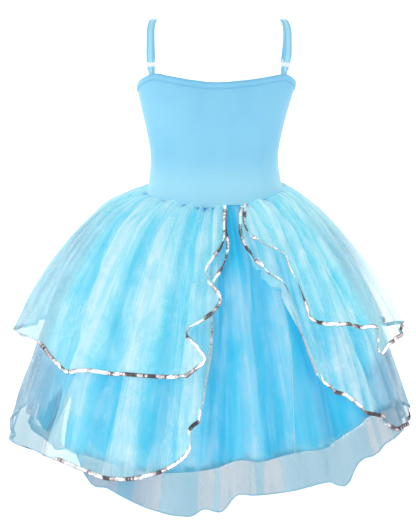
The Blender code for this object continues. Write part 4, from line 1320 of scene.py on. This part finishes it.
def make_strap(side, surface, plastic):
    """One shoulder strap, doubled back through its slider, and the short tab beneath it."""
    name, back_angle, front_angle, top_x, bow = side
    inside = -(CLOTH + 0.0003 + STRAP / 2 + 0.0018)
    knots = np.arange(len(STRAP_PATH), dtype=float)
    at = np.linspace(0, len(STRAP_PATH) - 1, 12 * (len(STRAP_PATH) - 1) + 1)
    parts = (column(STRAP_PATH, name) for name in StrapPoint._fields)
    share, height, bowed, lean = (smooth(at, knots, part) for part in parts)
    share = np.clip(share, 0, 1)
    back = bodice_point(back_angle, np.minimum(height, rim_height(back_angle)), inside)
    front = bodice_point(front_angle, np.minimum(height, rim_height(front_angle)), inside)
    path = back + (front - back) * share[:, None]
    path[:, 0] += bow * bowed
    path[:, 0] += (top_x - path[:, 0]) * lean
    path[:, 2] = height
    ends = wall_turn(back_angle, STRAP_PATH[0].height), wall_turn(front_angle, STRAP_PATH[-1].height)
    turn = ends[0] + (ends[1] - ends[0]) * share
    turn = turn * (1 - 0.7 * rise(height - rim_height(back_angle), 0.016))
    across = np.stack([np.cos(turn), np.sin(turn), 0 * turn], axis=1)

    hub = int(np.argmin(np.abs(height[: len(height) // 2] - SLIDER_HEIGHT)))
    along = unit(path[hub + 1] - path[hub - 1])
    wide = unit(across[hub] - along * np.dot(across[hub], along))
    out = np.cross(wide, along)
    make_slider(name, path[hub], wide, along, out, plastic)

    gone = run_of(path)
    round_bar = np.linspace(0, np.pi, 13)[:, None]
    clear = gone > gone[hub] + 0.010
    fade = (1 - rise(gone - gone[hub] - 0.010, 0.022))[:, None]
    outer_ply = (path + fade * STRAP_BEND * out)[clear][::-1]
    bend = STRAP_BEND * (np.cos(round_bar) * out - np.sin(round_bar) * along)
    bend = path[hub] + along * BAR_PITCH + bend
    doubled = clear & (gone < gone[hub] + 0.055)
    inner_ply = (path - out * (PITCH + 0.0002 + fade * (STRAP_BEND - PITCH - 0.0002)))[doubled]
    line = np.concatenate([outer_ply, bend, inner_ply])
    sides = np.concatenate([across[clear][::-1], np.repeat(wide[None], 13, axis=0), across[doubled]])
    section, shade_share = strap_section(STRAP_WIDTH, STRAP_PLY)
    piece = sweep("strap_" + name + "_cloth", line, sides, section, False, surface, shade_share)
    dress(piece, "light_blue_stretch_cloth", "strap_" + name)

    bend = STRAP_BEND * (np.cos(round_bar) * out + np.sin(round_bar) * along)
    bend = path[hub] - along * BAR_PITCH + bend
    root = gone < gone[hub] - 0.010
    inner_ply = path[hub] - along * BAR_PITCH - STRAP_BEND * out - along * np.array([[0.002], [0.004]])
    line = np.concatenate([path[root], bend, inner_ply])
    sides = np.concatenate([across[root], np.repeat(wide[None], 15, axis=0)])
    section, shade_share = strap_section(TAB_WIDTH, STRAP_PLY)
    piece = sweep("strap_tab_" + name + "_cloth", line, sides, section, False, surface, shade_share)
    dress(piece, "light_blue_stretch_cloth", "strap_tab_" + name)


def make_slider(name, centre, wide, along, out, surface):
    """A moulded figure of eight with rounded bars, modelled flat and then set in its place."""
    bpy.ops.object.select_all(action="DESELECT")
    slot = STRAP_WIDTH / 2 + 0.0004
    bpy.ops.mesh.primitive_grid_add(x_subdivisions=3, y_subdivisions=5, size=2)
    piece = bpy.context.object
    sides = {-1.0: -slot - 0.0010, -0.333: -slot, 0.333: slot, 1.0: slot + 0.0010}
    levels = {-1.0: -BAR_PITCH - BAR / 2, -0.6: -BAR_PITCH + BAR / 2, -0.2: -PLATE / 2,
              0.2: PLATE / 2, 0.6: BAR_PITCH - BAR / 2, 1.0: BAR_PITCH + BAR / 2}
    for vertex in piece.data.vertices:
        x = sides[min(sides, key=lambda mark: abs(mark - vertex.co.x))]
        y = levels[min(levels, key=lambda mark: abs(mark - vertex.co.y))]
        vertex.co = (x, y, -BAR / 2)

    def in_slot(face):
        return abs(face.center.x) < 0.001 and PLATE / 2 < abs(face.center.y) < BAR_PITCH - BAR / 2

    pick_faces(piece, in_slot)
    bpy.ops.mesh.delete(type="FACE")
    bpy.ops.mesh.select_all(action="SELECT")
    bpy.ops.mesh.extrude_region_move(TRANSFORM_OT_translate={"value": (0, 0, BAR)})
    bpy.ops.mesh.select_all(action="SELECT")
    bpy.ops.mesh.normals_make_consistent(inside=False)
    bpy.ops.object.mode_set(mode="OBJECT")
    bevel = piece.modifiers.new("rounded bars", "BEVEL")
    bevel.width, bevel.segments = 0.00045, 2
    bpy.ops.object.modifier_apply(modifier=bevel.name)
    rounded = piece.modifiers.new("moulded", "SUBSURF")
    rounded.levels = rounded.render_levels = 1
    bpy.ops.object.modifier_apply(modifier=rounded.name)
    points, faces = shape_of(piece)
    piece = new_piece("slider_" + name + "_moulded", centre + points @ [wide, along, out], faces, surface)
    sharpen(piece, 50)
    dress(piece, "clear_plastic", "slider_" + name)


def make_camera():
    """The photo's view: level with the dress, tilted down, and set a little to one side."""
    target = Vector((0.0, 0.0, -0.345))
    distance, tilt = 2.6, math.radians(10)
    pixels_high, pixels_aside, metres_per_pixel = 520, -8, 0.00145
    camera = bpy.data.objects.new("camera", bpy.data.cameras.new("camera"))
    bpy.context.scene.collection.objects.link(camera)
    camera.location = target + distance * Vector((0.0, -math.cos(tilt), math.sin(tilt)))
    camera.rotation_euler = (target - camera.location).to_track_quat("-Z", "Y").to_euler()
    camera.data.sensor_width = 36
    camera.data.lens = camera.data.sensor_width * distance / (pixels_high * metres_per_pixel)
    camera.data.shift_x = pixels_aside / pixels_high
    bpy.context.scene.camera = camera


def make_studio():
    """A white floor that curves up into a wall, soft lamps round the dress, and a dim sky."""
    floor_height, front, wall, wall_top, half_width = -0.90, -4.0, 6.6, 8.0, 9.0
    turn = np.linspace(0, np.pi / 2, 13)
    cove = [(wall - 1.0 + np.sin(a), floor_height + 1.0 - np.cos(a)) for a in turn]
    profile = [(y, floor_height) for y in (front, 1.0, 2.6)] + cove + [(wall, wall_top)]
    points = [(x, y, z) for x in (-half_width, half_width) for y, z in profile]
    count = len(profile)
    faces = [(k, count + k, count + k + 1, k + 1) for k in range(count - 1)]
    finish = Finish("studio_white", Roughness=0.9, Emission_Strength=1.0)
    cloud = finish.noise(finish.place(3, 3, 3), 2.0)
    finish.to(Base_Color=finish.mix(cloud, (0.93, 0.93, 0.93), (0.96, 0.96, 0.96)),
              Emission_Color=finish.mix(finish.mark("far"), (0.40, 0.40, 0.40), (0.66, 0.66, 0.66)))
    floor = new_piece("studio_floor", points, faces, finish.material)
    put_mark(floor, "far", [y > 2.0 for x, y, z in points])

    Lamp = namedtuple("Lamp", "name place size power")
    lamps = [
        Lamp("key", (-1.4, -2.4, 1.5), 1.6, 20),
        Lamp("fill", (2.0, -2.2, 0.6), 1.8, 12),
        Lamp("top", (0.2, -0.2, 2.2), 1.6, 12),
        Lamp("left", (-2.3, -0.1, 0.3), 1.0, 9),
        Lamp("back_left", (-2.0, 1.6, 0.6), 1.4, 8),
        Lamp("back_right", (2.0, 1.6, 0.6), 1.4, 8),
    ]
    for lamp in lamps:
        light = bpy.data.lights.new(lamp.name, "AREA")
        light.size, light.energy = lamp.size, lamp.power
        holder = bpy.data.objects.new(lamp.name, light)
        holder.location = lamp.place
        aim = Vector((0, 0, -0.35)) - Vector(lamp.place)
        holder.rotation_euler = aim.to_track_quat("-Z", "Y").to_euler()
        bpy.context.scene.collection.objects.link(holder)
    world = bpy.data.worlds.new("studio")
    world.use_nodes = True
    world.node_tree.nodes["Background"].inputs["Color"].default_value = (0.93, 0.96, 1.0, 1.0)
    world.node_tree.nodes["Background"].inputs["Strength"].default_value = 0.34
    bpy.context.scene.world = world
    bpy.context.scene.view_settings.view_transform = "Standard"
    bpy.context.scene.cycles.transparent_max_bounces = 48


make_camera()
make_studio()
stretch = stretch_cloth("light_blue_stretch")
thread = edge_thread("blue_thread", (0.16, 0.50, 0.80))
make_bodice(stretch, thread)
plastic = white_plastic("clear_plastic")
for strap in STRAPS:
    make_strap(strap, stretch, plastic)
skirts, long_layer = make_skirts()
trim = {"silver": sequin_silver("silver_sequins"), "tape": edge_thread("braid_tape", (0.62, 0.82, 0.90))}
make_braid("lower_tier", skirts["lower_tier"], LOWER_HIDDEN, trim, "lower_tier_braid")
make_braid("upper_tier", skirts["upper_tier"], UPPER_HIDDEN, trim, "upper_tier_braid")
hem_thread = edge_thread("rolled_hem_thread", (0.33, 0.72, 0.92))
pale_thread = edge_thread("pale_thread", (0.70, 0.95, 1.00))
for k, panel in enumerate(PANELS):
    dress(panel_edge("panel_edge_%d" % k, panel, long_layer, pale_thread), "sheer_blue_cloth")
lining_thread = edge_thread("lining_thread", (0.06, 0.58, 0.90))
under_hem, long_hem = skirts["underskirt"].points[-1], skirts["long_skirt"].points[-1]
dress(cord("underskirt_hem", under_hem, 0.0006, True, lining_thread), "bright_blue_cloth")
dress(cord("long_skirt_hem", long_hem, 0.0008, True, hem_thread), "sheer_blue_cloth")

bpy.context.view_layer.update()
